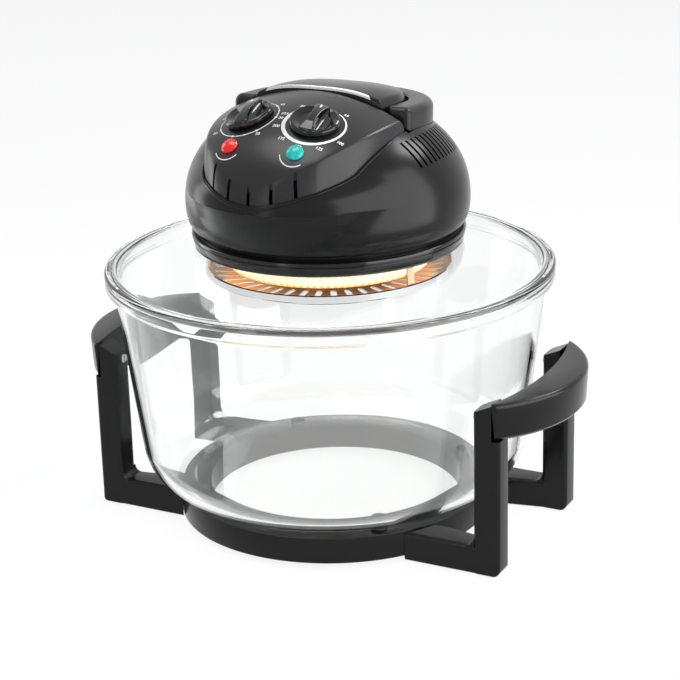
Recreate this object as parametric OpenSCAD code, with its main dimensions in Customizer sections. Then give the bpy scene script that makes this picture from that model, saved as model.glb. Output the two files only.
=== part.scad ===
// Halogen oven: a glass bowl on a plug-together stand, under a glass lid that carries the heating head.
// Origin: on the bowl's axis at table level. +Z is up and the control panel faces -Y.

/* [Bowl and lid] */
// Outer radius of the bowl's rim
rim_r = 165; // [160:1:172]
// Height of the bowl
bowl_h = 168; // [160:1:180]
// Thickness of the bowl's wall
bowl_wall = 5; // [4:0.5:6]
// Draft of the bowl's wall, in degrees
bowl_draft = 6.7; // [5.5:0.1:7.5]
// Outside radius of the bowl's bottom corner
bowl_corner = 38; // [32:1:42]
// Height of the rolled rim
rim_h = 12; // [10:0.5:14]
// How far the rim stands out from the wall
rim_out = 5; // [4:0.5:6]
// Width of the ledge that the lid rests on
ledge_w = 5.5; // [4.5:0.5:6.5]
// Thickness of the glass lid
lid_wall = 4; // [3.5:0.5:5]
// Rise of the lid from the rim to the head
lid_rise = 17; // [15:1:20]

/* [Stand] */
// Outer radius of the stand's ring
ring_r = 117; // [113:1:119]
// Height of the ring's top
ring_top = 23; // [21:0.5:25]
// Height of the ring's underside
ring_lift = 4; // [3:0.5:5]
// Radial width of the ring
ring_w = 22; // [20:1:24]
// How far the feet stand below the legs
foot_proud = 1; // [0.5:0.5:1.5]
// Wall of the ring's channel
ring_wall = 3.5; // [3:0.5:4]
// Thickness of the bowl's rest pads above the ring
pad_proud = 4; // [3:0.5:5]
// Distance from the centre to the front face of the legs
leg_y = 72; // [70:1:76]
// How far the posts stand outside the bowl's rim
post_out = 1; // [0.5:0.5:4]
// Width of a post
post_w = 20; // [18:1:22]
// Depth of a post, front to back
post_d = 18; // [16:1:20]
// Depth of an arm, front to back
arm_d = 24; // [22:1:26]
// Height of an arm
arm_h = 22; // [20:1:22]
// Height of the top of the side grips
grip_top = 130; // [124:1:134]
// Height of the side grips' outer face
grip_h = 26; // [22:1:30]
// Reach of the side grips beyond the bowl's rim
grip_out = 31; // [27:1:34]
// Width of the side grips at their middle
grip_w = 26; // [22:1:28]

/* [Head] */
// Outer radius of the collar
collar_r = 99.5; // [97:0.5:102]
// Height of the collar
collar_h = 9; // [8:0.5:11]
// Widest radius of the head
dome_r = 103.4; // [102:0.1:106]
// Height of the head above the collar's underside
dome_h = 103; // [100:1:108]
// Height of the head's widest line above the collar's underside
widest_h = 30; // [28:1:32]
// Height of the nose's foot above the collar's underside
nose_h = 45; // [44:0.5:46]
// Wall of the mouldings
wall = 2.6; // [2.2:0.1:3]
// Reach of the control panel's nose in front of the axis
nose_reach = 115.5; // [113:0.5:118]
// Half width of the control panel at the back
panel_half = 68.5; // [66:0.5:70]
// Radius of the panel's crown from side to side
crown_r = 135; // [130:5:160]
// Height of the panel above the head's widest line
panel_rise = 81; // [80:0.5:83]
// Width of the slots in the nose
rib_gap = 1.8; // [1.4:0.1:2.2]
// Width of the side vents
vent_w = 2.2; // [1.8:0.1:2.6]
// Number of vents on each side
vents = 12; // [9:1:12]

/* [Controls] */
// Distance of the dials from the middle of the panel
dial_x = 25.5; // [24:0.5:27]
// Distance of the dials in front of the axis
dial_y = 63.6; // [62:0.2:65]
// Radius of a dial
dial_r = 17.5; // [16:0.5:18.5]
// Height of a dial's grip
dial_h = 10; // [8:0.5:12]
// Distance of the lamps in front of the axis
lens_y = 92.3; // [91:0.1:93]
// Radius of an indicator lens
lens_r = 6.2; // [5.5:0.1:6.8]
// Radius of the dial shafts
spindle_r = 3; // [2.6:0.1:3.4]

/* [Carry handle] */
// Outer radius of the carry handle's bend
hoop_r = 71; // [69:0.5:72]
// Width of the carry handle
hoop_w = 18; // [16:0.5:18]
// Thickness of the carry handle
hoop_t = 17; // [15:0.5:18]
// Radius of the hinge pins
pin_r = 2.5; // [2:0.1:3]

/* [Heater] */
// Outer radius of the guard ring
guard_r = 90; // [87:0.5:91]
// Height of the guard ring
guard_h = 7; // [6:0.5:9]
// Gap between the collar and the guard ring
guard_gap = 18; // [16:0.5:20]
// Radius of the lamp's loop
lamp_loop = 70; // [67:0.5:72]
// Radius of the lamp's glass tube
lamp_r = 6; // [5:0.5:6.5]
// Radius of the convection fan
fan_r = 38; // [34:1:42]
// Number of blades on the convection fan
fan_blades = 10; // [6:1:12]
// Radius of the motor
motor_r = 28; // [25:1:31]
// Radius of the motor's shaft
shaft_r = 3; // [2.5:0.1:4]

/* [Hidden] */
$fn = 64;
fit = 0.3;
running = 0.06;
screw_r = 1.6;
seat = 0.2;
eps = 0.01;

// Heights, from the table up
bowl_z = ring_top + pad_proud;
rim_z = bowl_z + bowl_h;
head_z = rim_z + lid_rise;
collar_top = head_z + collar_h;
shell_z = collar_top + 3.5;
dome_mid = head_z + widest_h;
dome_top = head_z + dome_h;
dome_rise = dome_top - dome_mid;
nose_z = head_z + nose_h;
panel_top = dome_mid + panel_rise;
nose_rise = panel_top - nose_z;
form = 2.2;

// Radii that follow from the bowl
wall_top_r = rim_r - rim_out;
lid_r = rim_r - rim_out - fit;
lid_hole = guard_r + 2.5;
shell_foot = collar_r - 2.5;
neck_r = shell_foot - 2.5;

// Legs and grips
post_x = rim_r + post_out;
grip_x = rim_r + grip_out;
grip_end_x = post_x - 2;
grip_sag = grip_x - grip_end_x;
grip_arc = (leg_y * leg_y + grip_sag * grip_sag) / (2 * grip_sag);
grip_cx = grip_x - grip_arc;
inner_x = grip_x - grip_w;
inner_sag = inner_x - (grip_end_x - 4);
inner_arc = (leg_y * leg_y + inner_sag * inner_sag) / (2 * inner_sag);
arm_end = sqrt(ring_r * ring_r - leg_y * leg_y) + 4;
socket_y = leg_y - arm_d / 2;
tenon_w = arm_d - 8;
tenon_z = ring_lift + 3;
tenon_h = ring_top - ring_wall - tenon_z;

// Hinge of the carry handle and its rest tilt
hinge_y = 2;
hinge_z = head_z + 92;
hoop_cy = 12;
hoop_tilt = -4;
ear_front = 12;
hoop_in = hoop_r - hoop_w;
hoop_base = -7.5;
hoop_fillet = 6;
ear_r = 14;
pin_in = 8;
pin_out = hoop_w - 5;

// Heater stack, from the collar down, and the motor stack, from the shield up
guard_top = head_z - guard_gap;
guard_base = guard_top - guard_h;
shield_z = head_z + 2;
shield_t = 1.2;
lamp_z = guard_top + 6.5;
cooling_z = shield_z + shield_t + 5;
motor_z = cooling_z + 16;
motor_h = 30;
bush_r = shaft_r + 4;

// Superellipse used by the dome and the panel
function bow(u) = pow(max(0, 1 - pow(min(1, abs(u)), form)), 1 / form);
function dome_at(z) = dome_r * bow((z - dome_mid) / dome_rise);
function dome_z(r) = dome_mid + dome_rise * bow(r / dome_r);
function panel_z(x, y) = nose_z + nose_rise * bow(y / nose_reach) - x * x / (2 * crown_r);

// Direction of the panel's normal at a point, as turns about X and then Y
function slope_y(y) = (panel_z(0, y + 0.5) - panel_z(0, y - 0.5));
function lean_x(x, y) = asin(slope_y(y) / sqrt(1 + slope_y(y) * slope_y(y) + pow(x / crown_r, 2)));
function lean_y(x) = atan(x / crown_r);

function arc(c, r, a0, a1, n) = [for (i = [0:n]) let (a = a0 + (a1 - a0) * i / n) c + r * [cos(a), sin(a)]];

// Closed hollow skin: outer rings, inner rings, the foot between them, and the two middle points last
function shell_faces(n, outer, inner) = let (last = n * (outer + inner - 1), mid = last + n) concat(
    skin_faces(n, outer), skin_faces(n, inner, outer * n),
    [for (i = [0:n - 1]) let (j = (i + 1) % n, a = (outer - 1) * n, b = outer * n)
        each [[a + i, a + j, mid], [mid + 1, b + j, b + i]]],
    [for (i = [0:n - 1]) let (j = (i + 1) % n) each [[last + i, last + j, j], [last + i, j, i]]]
);

// Skin through a stack of rings with the same number of points
function skin_faces(n, rings, first = 0) = [
    for (k = [0:rings - 2]) for (i = [0:n - 1]) let (j = (i + 1) % n, a = first + k * n)
        each [[a + i, a + j, a + n + j], [a + i, a + n + j, a + n + i]]
];

module mirrored() {
    children();
    mirror([1, 0, 0]) children();
}

module ring(r, t, h) {
    rotate_extrude() translate([r - t, 0]) square([t, h]);
}

// Flat shape with round corners
module pill(w, h, r) {
    translate([r, 0]) square([w - 2 * r, h]);
    translate([0, r]) square([w, h - 2 * r]);
    for (x = [r, w - r], y = [r, h - r]) translate([x, y]) circle(r);
}

// Puts its children on the panel's surface, standing on its normal
module on_panel(x, y) {
    translate([x, y, panel_z(x, y)]) rotate([lean_x(x, y), lean_y(x), 0]) children();
}

// Stand
module stand_ring() color("#1c1c1e") difference() {
    rotate_extrude() difference() {
        translate([ring_r - ring_w, ring_lift]) square([ring_w, ring_top - ring_lift]);
        translate([ring_r - ring_w + ring_wall, ring_lift - 1])
            square([ring_w - 2 * ring_wall, ring_top - ring_lift + 1 - ring_wall]);
    }
    for (s = [-1, 1], x = [-1, 1]) {
        translate([x * (tenon_mid + ring_w), s * socket_y, tenon_z + (tenon_h - running) / 2])
            cube([2 * ring_w, tenon_w + 2 * running, tenon_h + running], center = true);
        translate([x * tenon_mid, s * socket_y, ring_lift])
            cylinder(r = screw_r, h = ring_top - ring_lift - 1);
    }
    for (a = [0:3]) rotate(45 + 90 * a) translate([pad_at, 0, ring_top - ring_wall - 1])
        cylinder(r = 3, h = ring_wall + 2);
}
pad_at = ring_r - ring_w / 2 - 2;
tenon_mid = sqrt(pow(ring_r - ring_w / 2, 2) - socket_y * socket_y);

// Front right leg: an arm that plugs into the ring and a post with a sloping top
module leg_outline() {
    r = 5;
    difference() {
        union() {
            translate([arm_end - 12, foot_proud]) square([post_x - arm_end, arm_h - foot_proud]);
            translate([post_x - post_w, foot_proud]) square([post_w, grip_top - grip_h - 1.5 - foot_proud]);
            translate([post_x - post_w, arm_h]) square([post_w - 6, grip_top - arm_h - 2]);
            translate([post_x - post_w - r, arm_h]) square([r, r]);
        }
        translate([post_x - post_w - r, arm_h + r]) circle(r);
        translate([post_x - post_w, grip_top - 8]) rotate(24) square([40, 20]);
        difference() {
            translate([post_x - r, foot_proud - 1]) square([r + 1, r + 1]);
            translate([post_x - r, foot_proud + r]) circle(r);
        }
    }
}

module leg() color("#202023") {
    difference() {
        union() {
            translate([0, -leg_y + arm_d, 0]) rotate([90, 0, 0])
                linear_extrude(arm_d) intersection() {
                    leg_outline();
                    translate([0, 0]) square([post_x + 1, arm_h]);
                }
            translate([0, -leg_y + post_d, 0]) rotate([90, 0, 0])
                linear_extrude(post_d) leg_outline();
        }
        translate([0, 0, -1]) cylinder(r = ring_r + fit, h = ring_top + 2);
        grip_body(0);
        translate([post_x - post_w / 2, -leg_y + post_d / 2, 0])
            cylinder(r = foot_r, h = foot_proud + foot_sunk);
        translate([post_x - post_w - 1, -leg_y + post_d / 2, grip_screw_z])
            rotate([0, 90, 0]) cylinder(r = screw_r, h = post_w);
    }
    difference() {
        translate([tenon_mid - 6, -socket_y - tenon_w / 2, tenon_z])
            cube([arm_end - tenon_mid + 12, tenon_w, tenon_h]);
        cylinder(r = ring_r - ring_w + ring_wall + fit, h = ring_top);
        translate([tenon_mid, -socket_y, 0]) cylinder(r = screw_r, h = ring_top);
    }
}
foot_r = 4;
foot_sunk = 2;
grip_screw_z = grip_top - grip_h / 2;

module leg_front_right() leg();
module leg_rear_right() mirror([0, 1, 0]) leg();
module leg_front_left() mirror([1, 0, 0]) leg();
module leg_rear_left() mirror([1, 0, 0]) mirror([0, 1, 0]) leg();

// Crescent grip: an upright outer face over an underside that falls towards the bowl
module grip_body(gap) {
    low = grip_top - grip_h;
    fall = 0.45;
    edge = 3;
    intersection() {
        difference() {
            translate([grip_cx, 0, 0]) rotate_extrude($fn = 128) polygon(concat(
                [[0, low - gap - fall * grip_arc], [grip_arc + gap - edge, low - gap - fall * edge / 2],
                 [grip_arc + gap - 1, low - gap + edge / 2]],
                arc([grip_arc + gap - edge, grip_top + gap - edge], edge, 0, 90, 5),
                [[0, grip_top + gap - 1.5]]));
            translate([inner_x - gap - inner_arc, 0, 0])
                cylinder(r = inner_arc, h = grip_top * 2, $fn = 128);
        }
        translate([grip_cx, -leg_y - gap, 0]) cube([grip_arc * 2, 2 * (leg_y + gap), grip_top * 2]);
    }
}

module grip_right() color("#242427") difference() {
    grip_body(0);
    for (s = [-1, 1]) translate([0, s * (leg_y - post_d / 2), grip_screw_z])
        rotate([0, 90, 0]) cylinder(r = screw_r, h = post_x + 2);
}
module grip_left() mirror([1, 0, 0]) grip_right();

// Pan-head screws, drawn along +Z with the head below
module screw(r, l, head) {
    translate([0, 0, -2]) difference() {
        cylinder(r = head, h = 2);
        translate([-head, -0.5, -1]) cube([2 * head, 1, 1.8]);
    }
    translate([0, 0, -0.5]) cylinder(r = r, h = l + 0.5);
}

module leg_screws() color("#8c8c90") for (s = [-1, 1]) mirrored()
    translate([tenon_mid, s * socket_y, tenon_z]) screw(screw_r, tenon_h + 2, 3);

module grip_screws() color("#8c8c90") for (s = [-1, 1]) mirrored()
    translate([post_x - post_w, s * (leg_y - post_d / 2), grip_screw_z])
        rotate([0, 90, 0]) screw(screw_r, post_w + 1, 3.2);

module stand_feet() color("#3a3a3c") for (s = [-1, 1]) mirrored()
    translate([post_x - post_w / 2, s * (leg_y - post_d / 2), 0])
        cylinder(r = foot_r, h = foot_proud + foot_sunk);

module bowl_pads() color("#4a4a4d") for (a = [0:3]) rotate(45 + 90 * a) translate([pad_at, 0, 0]) {
    translate([0, 0, ring_top]) cylinder(r = 5.5, h = pad_proud);
    translate([0, 0, ring_top - ring_wall]) cylinder(r = 3, h = ring_wall + 0.5);
}

// Glass
bowl_lean = tan(bowl_draft);
corner_z = bowl_corner * (1 - sin(bowl_draft));
corner_c = wall_top_r - (bowl_h - corner_z) * bowl_lean - bowl_corner * cos(bowl_draft);
corner_in = bowl_corner - bowl_wall;
module glass_bowl() color("#cfe3e8", 0.35) translate([0, 0, bowl_z]) rotate_extrude($fn = 128)
    polygon(concat(
        [[0, 0]],
        arc([corner_c, bowl_corner], bowl_corner, -90, -bowl_draft, 10),
        [[wall_top_r - (rim_h + 2) * bowl_lean, bowl_h - rim_h - 2]],
        arc([rim_r - 3, bowl_h - rim_h + 3], 3, -60, 0, 4),
        arc([rim_r - 3, bowl_h - 3], 3, 0, 90, 4),
        [[lid_r + fit + 1, bowl_h], [lid_r + fit, bowl_h - 1]],
        [[lid_r + fit, bowl_h - lid_wall - 1], [lid_r - ledge_w, bowl_h - lid_wall - 1.6]],
        [[wall_top_r - bowl_wall - rim_h * bowl_lean, bowl_h - rim_h - 4]],
        arc([corner_c, bowl_corner], corner_in, -bowl_draft, -90, 10),
        [[0, bowl_wall]]));

lid_foot = rim_z - lid_wall - 1 + seat;
lid_bend = lid_r - 4;
lid_span = lid_bend - collar_r + 6;
function lid_line(t) = [
    lid_bend - t * lid_span,
    lid_foot + lid_wall + (head_z - lid_wall - lid_foot - 1.2) * sin(90 * t)
];
module glass_lid() color("#cfe3e8", 0.35) rotate_extrude($fn = 128) polygon(concat(
    arc([lid_r - 2, lid_foot + 2], 2, -90, 0, 3),
    arc([lid_r - 2, rim_z - 3], 2, 0, 90, 3),
    [for (i = [0:10]) lid_line(i / 10)],
    [[lid_hole, head_z - 1.2], [lid_hole, head_z - 1.2 - lid_wall]],
    [for (i = [10:-1:0]) lid_line(i / 10) - [i == 0 ? 1 : 0, lid_wall]]));

module lid_gasket() color("#5c5c5e") translate([0, 0, head_z - 1.2]) ring(collar_r - 1.5, 4, 1.2);

// Head: collar, shell and panel
module collar() color("#151516") difference() {
    rotate_extrude($fn = 128) polygon([
        [guard_r - 5, head_z], [collar_r - 1, head_z], [collar_r, head_z + 1],
        [collar_r + 0.6, collar_top - 1.5], [collar_r - 0.4, collar_top],
        [neck_r + fit, collar_top], [neck_r + fit, collar_floor],
        [guard_r - 5, collar_floor], [guard_r - 5, shield_z + shield_t],
        [guard_r - 3, shield_z + shield_t], [guard_r - 3, shield_z], [guard_r - 5, shield_z]
    ]);
    for (a = [0:3]) rotate(45 + 90 * a) translate([screw_at, 0, head_z - 1])
        cylinder(r = screw_r, h = 12);
}
collar_floor = head_z + 5.5;
boss_r = 4.4;
boss_h = 26;
screw_at = neck_r - 5.3;

// The dome's outline, from the foot up
function dome_outline(d) = concat(
    [[neck_r - d, collar_floor], [neck_r - d, shell_z], [shell_foot - d, shell_z]],
    [for (a = [15:15:90]) [shell_foot - d + (dome_r - shell_foot) * sin(a),
        dome_mid - (dome_mid - shell_z - 1) * cos(a)]],
    [for (i = [1:16])
        let (z = dome_mid + dome_rise * sin(90 * i / 16), shrink = i == 16 ? 0 : d * (1 - i / 24))
        [max(0, dome_at(z) - shrink), z - d * i / 16]]
);

module dome(d) {
    rotate_extrude($fn = 128) polygon(concat(
        [[0, collar_floor]], dome_outline(d), [[0, dome_top - d]]));
}

// The chin swells forward under the nose and rounds off in a shoulder that climbs along the panel's flanks
lip = 1.4;
chin_y = 34;
chin_r = nose_reach + lip - chin_y;
chin_low = neck_r - chin_y + 2;
shoulder_w = 30;
shoulder_h = 23.5;
module chin(d) {
    translate([0, -chin_y, 0]) rotate_extrude($fn = 128) polygon(concat(
        [[0, shell_z + 1.5]],
        [for (i = [0:8]) [chin_low - d + (chin_r - chin_low) * pow(i / 8, 0.75),
            shell_z + 1.5 + (nose_z + 1 - shell_z - 1.5) * i / 8]],
        [for (a = [10:10:90]) [chin_r - d - shoulder_w * (1 - cos(a)),
            nose_z + 1 + (shoulder_h - d) * sin(a)]],
        [[0, nose_z + 1 + shoulder_h - d]]));
}

// Seen from above, the panel's outline: a round nose, straight flanks and a square back
nose_arc = 58;
nose_half = 39;
panel_back = -12.6;
function flank(t) = let (y = panel_back - (nose_reach + panel_back - 17) * t)
    [panel_half * pow(1 - pow(abs(y) / nose_reach, 2.35), 1 / 2.35), y];
function panel_side(n, m) = concat(
    [for (i = [0:n - 1]) flank(i / n)],
    [for (i = [0:m]) let (a = nose_half * (1 - i / m))
        [nose_arc * sin(a), nose_arc - nose_reach - nose_arc * cos(a)]]
);
function panel_plan(n, m) = let (s = panel_side(n, m)) concat(
    s, [for (i = [len(s) - 2:-1:0]) [-s[i][0], s[i][1]]],
    [for (i = [1:9]) s[0] - [2 * s[0][0] * (1 - i / 10), 0]]
);
panel_cy = -48;

// The hoop's path as a solid, with a gap all round, in the hoop's own tilted frame
module hoop_solid(gap) {
    w = hoop_w + 2 * gap;
    t = hoop_t + 2 * gap;
    r = hoop_fillet;
    translate([0, hinge_y, hinge_z]) rotate([hoop_tilt, 0, 0]) translate([0, 0, hoop_base - gap]) {
        translate([0, hoop_cy, 0]) rotate_extrude(angle = 180, $fn = 96)
            translate([hoop_in - gap, 0]) hoop_section(w, t, r);
        mirrored() translate([hoop_in - gap, hoop_cy, 0]) rotate([90, 0, 0])
            linear_extrude(hoop_cy + ear_front + gap) hoop_section(w, t, r);
    }
}
module hoop_section(w, t, r) {
    square([w, t - r]);
    translate([2, 0]) square([w - 2 - r, t]);
    translate([w - r, t - r]) circle(r);
    translate([2, t - 2]) circle(2, $fn = 24);
}

// Room that each arm's end sweeps about the hinge
module ear(r, gap) {
    mirrored() translate([hoop_in - gap - 0.2, hinge_y, hinge_z]) rotate([0, 90, 0])
        cylinder(r = r, h = hoop_w + 2 * gap + 0.4, $fn = 96);
}

module carry_handle() color("#232326") difference() {
    hoop_solid(0);
    mirrored() translate([hoop_in - 1, hinge_y - 2 * ear_front, hinge_z - 2 * ear_front]) difference() {
        cube([hoop_w + 2, 2 * ear_front, 4 * ear_front]);
        translate([-1, 2 * ear_front, 2 * ear_front]) rotate([0, 90, 0])
            cylinder(r = ear_r, h = hoop_w + 4, $fn = 96);
    }
    mirrored() translate([hoop_in - 1, hinge_y, hinge_z]) rotate([0, 90, 0])
        cylinder(r = pin_r + running, h = pin_out + 2);
}

vent_pitch = 5.7;
vent_y = 4.5;
module vent_cuts() {
    mirrored() for (i = [0:vents - 1]) translate([0, vent_y + (i - (vents - 1) / 2) * vent_pitch, 0])
        translate([dome_r - 32, -vent_w / 2, dome_mid + 31]) rotate([0, -16, 0]) cube([40, vent_w, 20]);
}

module head_shell() color("#1e1e20") difference() {
    union() {
        difference() {
            union() {
                dome(0);
                difference() {
                    chin(0);
                    panel_room();
                }
            }
            dome_inside();
        }
        intersection() {
            dome(0);
            union() {
                hoop_solid(fit + wall);
                ear(ear_r + 1 + wall, fit + wall);
            }
        }
        for (a = [0:3]) rotate(45 + 90 * a) translate([screw_at, 0, collar_floor])
            cylinder(r = boss_r, h = boss_h);
    }
    hoop_solid(fit);
    ear(ear_r + 1, fit);
    head_opening();
    vent_cuts();
    for (a = [0:3]) rotate(45 + 90 * a) translate([screw_at, 0, head_z + 5]) cylinder(r = screw_r, h = 14);
    mirrored() translate([hoop_in - pin_in - 1, hinge_y, hinge_z]) rotate([0, 90, 0])
        cylinder(r = pin_r, h = pin_in + 1);
    translate([0, dome_r - 12, gland_z]) rotate([-90, 0, 0]) cylinder(r = gland_r, h = 30);
    plunger_hole();
}
module dome_inside() {
    dome(wall);
    intersection() {
        chin(wall);
        translate([0, 0, shell_z]) cylinder(r = dome_r * 2, h = nose_z - shell_z - wall);
    }
}
gland_z = head_z + 34;
gland_r = 6;
gland_out = 5;
cord_r = 3.6;

// The nose of the panel drops into the chin
module panel_room() {
    k = 1 + fit / panel_half;
    translate([0, 0, nose_z]) linear_extrude(2 * shoulder_h)
        polygon([for (p = panel_plan(16, 8)) [p[0] * k, (p[1] - panel_cy) * k + panel_cy]]);
}

// One opening below the panel and the crown cover, with a ledge left all round
ledge = 7;
module head_opening() {
    k = 1 - ledge / panel_half;
    translate([0, 0, nose_z - wall - 1]) linear_extrude(dome_rise * 2)
        polygon([for (p = panel_plan(10, 8)) p * k + [0, panel_cy * (1 - k)]]);
    half = crown_half - ledge;
    translate([-half, panel_back - ledge - 2, nose_z])
        cube([2 * half, hoop_cy - panel_back + ledge + 2, dome_rise * 2]);
}

function foot_z(p) = let (r = norm(p)) fit + (r > dome_at(nose_z) ? nose_z : max(nose_z, dome_z(r)));

// Rings of the panel's skin: out from the foot, up the flank, over the edge and in to the crown
function panel_ring(plan, k, h) = [
    for (p = plan)
        let (q = [p[0] * k, (p[1] - panel_cy) * k + panel_cy], low = foot_z(q), up = panel_z(q[0], q[1]))
        [q[0], q[1], low + (max(up, low) - low) * h]
];
module control_panel() {
    plan = panel_plan(16, 8);
    n = len(plan);
    outer = [[1, 0], [0.998, 0.3], [0.992, 0.6], [0.98, 0.82], [0.962, 0.95], [0.94, 1], [0.88, 1],
        [0.78, 1], [0.66, 1], [0.5, 1], [0.34, 1], [0.17, 1]];
    inner = [[0.2, 1], [0.42, 1], [0.64, 1], [0.8, 1], [0.9, 1], [0.935, 0.9], [0.955, 0]];
    points = concat(
        [for (s = outer) each panel_ring(plan, s[0], s[1])],
        [for (s = inner) each [for (p = panel_ring(plan, s[0], s[1])) p - [0, 0, s[1] * wall]]],
        [for (d = [0, wall]) [0, panel_cy, panel_z(0, panel_cy) - d]]
    );
    color("#232325") difference() {
        polyhedron(points, shell_faces(n, len(outer), len(inner)), convexity = 6);
        for (s = [-1, 1]) {
            on_panel(s * dial_x, -dial_y) translate([0, 0, -12]) cylinder(r = spindle_r + 1, h = 30);
            on_panel(s * dial_x, -lens_y) translate([0, 0, -12]) cylinder(r = lens_r - 1, h = 30);
        }
        for (i = [-2:2]) rib_slot(i);
    }
}
rib_step = 17;
rib_foot = 2.5;
rib_rise = 2.5;
rib_h = 18;
module rib_slot(i) {
    translate([0, nose_arc - nose_reach, nose_z + rib_foot + rib_rise * i * i]) rotate(i * rib_step)
        translate([-rib_gap / 2, -nose_arc - 2, 0]) cube([rib_gap, 6, rib_h]);
}

// Crown cover between the arms of the handle
crown_half = hoop_in - 1.2;
crown_top = panel_top + 2;
crown_edge = -6;
crown_fall = 8.5;
function crown_z(x, y) =
    crown_top - crown_fall * pow(abs(x) / crown_half, 3) - 13 * pow(max(0, y - crown_edge) / 70, 2);
crown_front = panel_back + 0.6;
crown_side = hoop_cy + hinge_y - crown_front;
crown_c = [0, 20];
function crown_plan(n) = concat(
    [for (i = [0:2]) [crown_half, crown_front + crown_side * i / 3]],
    arc([0, hoop_cy + hinge_y], crown_half, 0, 180, n),
    [for (i = [2:-1:0]) [-crown_half, crown_front + crown_side * i / 3]],
    [for (i = [1:11]) [-crown_half + crown_half * i / 6, crown_front]]
);
module crown_cover() {
    plan = crown_plan(20);
    n = len(plan);
    c = crown_c;
    function top(k, drop) =
        [for (p = plan) let (q = c + (p - c) * k) [q[0], q[1], crown_z(q[0], q[1]) - drop]];
    function low(k) = [for (p = plan) let (q = c + (p - c) * k) [q[0], q[1], dome_z(norm(q)) + 2 * fit]];
    points = concat(
        low(1), top(1, 7), top(0.985, 3), top(0.95, 1),
        top(0.9, 0), top(0.7, 0), top(0.45, 0), top(0.2, 0),
        top(0.2, wall), top(0.45, wall), top(0.8, wall), top(0.93, 7 + wall), low(0.94),
        [for (d = [0, wall]) [c[0], c[1], crown_z(c[0], c[1]) - d]]);
    color("#1b1b1d") polyhedron(points, shell_faces(n, 8, 5), convexity = 6);
}

// Bright strip along the brow, laid on the crown's own facets
brow_rows = [[0.975, 2.4], [0.95, 1], [0.9, 0], [0.87, 0]];
strip_t = 0.6;
module trim_strip() {
    n = 11;
    m = len(brow_rows);
    function at(i, row, up) = let (q = crown_c + ([crown_half * (i - 5) / 6, crown_front] - crown_c) * row[0])
        [q[0], q[1] - up, crown_z(q[0], q[1]) - row[1] + up];
    points = concat(
        [for (row = brow_rows, i = [0:n - 1]) at(i, row, strip_t)],
        [for (row = brow_rows, i = [0:n - 1]) at(i, row, 0)]);
    function quad(a, b, c, d) = [[a, b, c], [a, c, d]];
    low = n * m;
    faces = concat(
        [for (r = [0:m - 2], i = [0:n - 2]) let (a = r * n + i) each quad(a, a + n, a + n + 1, a + 1)],
        [for (r = [0:m - 2], i = [0:n - 2]) let (a = low + r * n + i) each quad(a, a + 1, a + n + 1, a + n)],
        [for (i = [0:n - 2]) each quad(i, i + 1, low + i + 1, low + i)],
        [for (i = [0:n - 2]) let (a = (m - 1) * n + i) each quad(a, low + a, low + a + 1, a + 1)],
        [for (r = [0:m - 2]) let (a = r * n) each quad(a, low + a, low + a + n, a + n)],
        [for (r = [0:m - 2]) let (a = r * n + n - 1) each quad(a, a + n, low + a + n, low + a)]);
    color("#b9b9bb") polyhedron(points, faces);
}

// Indicator lenses
module lens() {
    rotate_extrude() polygon([[0, -8], [lens_r - 1.05, -8], [lens_r - 1.05, 0], [lens_r, 0],
        [lens_r, 0.8], [lens_r - 0.6, 2], [lens_r - 2.6, 3.2], [0, 3.6]]);
}
module power_lens() color("#d8342c") on_panel(-dial_x, -lens_y) lens();
module heat_lens() color("#2fc2b4") on_panel(dial_x, -lens_y) lens();

// Dials: a low skirt and a grip across it
module dial() difference() {
    union() {
        rotate_extrude() polygon([[0, 0.4], [dial_r - 2, 0.4], [dial_r, 0.9], [dial_r, 2.4],
            [dial_r - 1.2, 3.4], [0, 3.8]]);
        intersection() {
            rotate_extrude() polygon([[0, 0.5], [dial_r - 1.6, 0.5], [dial_r - 1.8, 5],
                [dial_r - 4, dial_h - 2], [dial_r - 6, dial_h], [0, dial_h]]);
            difference() {
                translate([-dial_r, -6, 0]) cube([2 * dial_r, 12, dial_h + 1]);
                for (s = [-1, 1]) translate([0, s * (dial_r * 1.6 + 3.6), 3.4])
                    cylinder(r = dial_r * 1.6, h = dial_h);
            }
        }
    }
    translate([0, 0, -1]) cylinder(r = spindle_r, h = dial_h - 3);
}
dial_turn = 96;
module timer_knob() color("#101011") on_panel(-dial_x, -dial_y) rotate(dial_turn) dial();
module temperature_knob() color("#101011") on_panel(dial_x, -dial_y) rotate(dial_turn) dial();
module spindle() translate([0, 0, -spindle_down])
    cylinder(r = spindle_r - eps, h = spindle_down + dial_h - 4.2);
spindle_down = 20;
module timer_spindle() color("#c9c9cb") on_panel(-dial_x, -dial_y) spindle();
module temperature_spindle() color("#c9c9cb") on_panel(dial_x, -dial_y) spindle();

// Works behind the dials, each with a bushed hole for its spindle
control_gap = 7;
module works(r, h) difference() {
    translate([0, 0, -control_gap - h]) {
        cylinder(r = r, h = h);
        cylinder(r = spindle_r + 2.4, h = h + control_gap - wall);
    }
    translate([0, 0, -spindle_down - 0.5]) cylinder(r = spindle_r + running, h = 2 * spindle_down);
}
timer_size = [17, 22];
thermostat_size = [14, 18];
module timer_mechanism() color("#a9a9a5") on_panel(-dial_x, -dial_y)
    works(timer_size[0], timer_size[1]);
module thermostat() color("#8f8f8a") on_panel(dial_x, -dial_y)
    works(thermostat_size[0], thermostat_size[1]);

// Heater under the collar
module heat_shield() color("#b4b6b8") difference() {
    translate([0, 0, shield_z]) cylinder(r = guard_r - 3, h = shield_t);
    translate([0, 0, shield_z - 1]) cylinder(r = shaft_r + 1.5, h = 4);
    for (a = [0:2]) rotate(120 * a + 30) translate([motor_r + 6, 0, shield_z - 1])
        cylinder(r = screw_r, h = 4);
}
module bracket_screws() color("#8c8c90") for (a = [0:2]) rotate(120 * a + 30)
    translate([motor_r + 6, 0, shield_z]) screw(screw_r, 11, 3);

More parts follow.
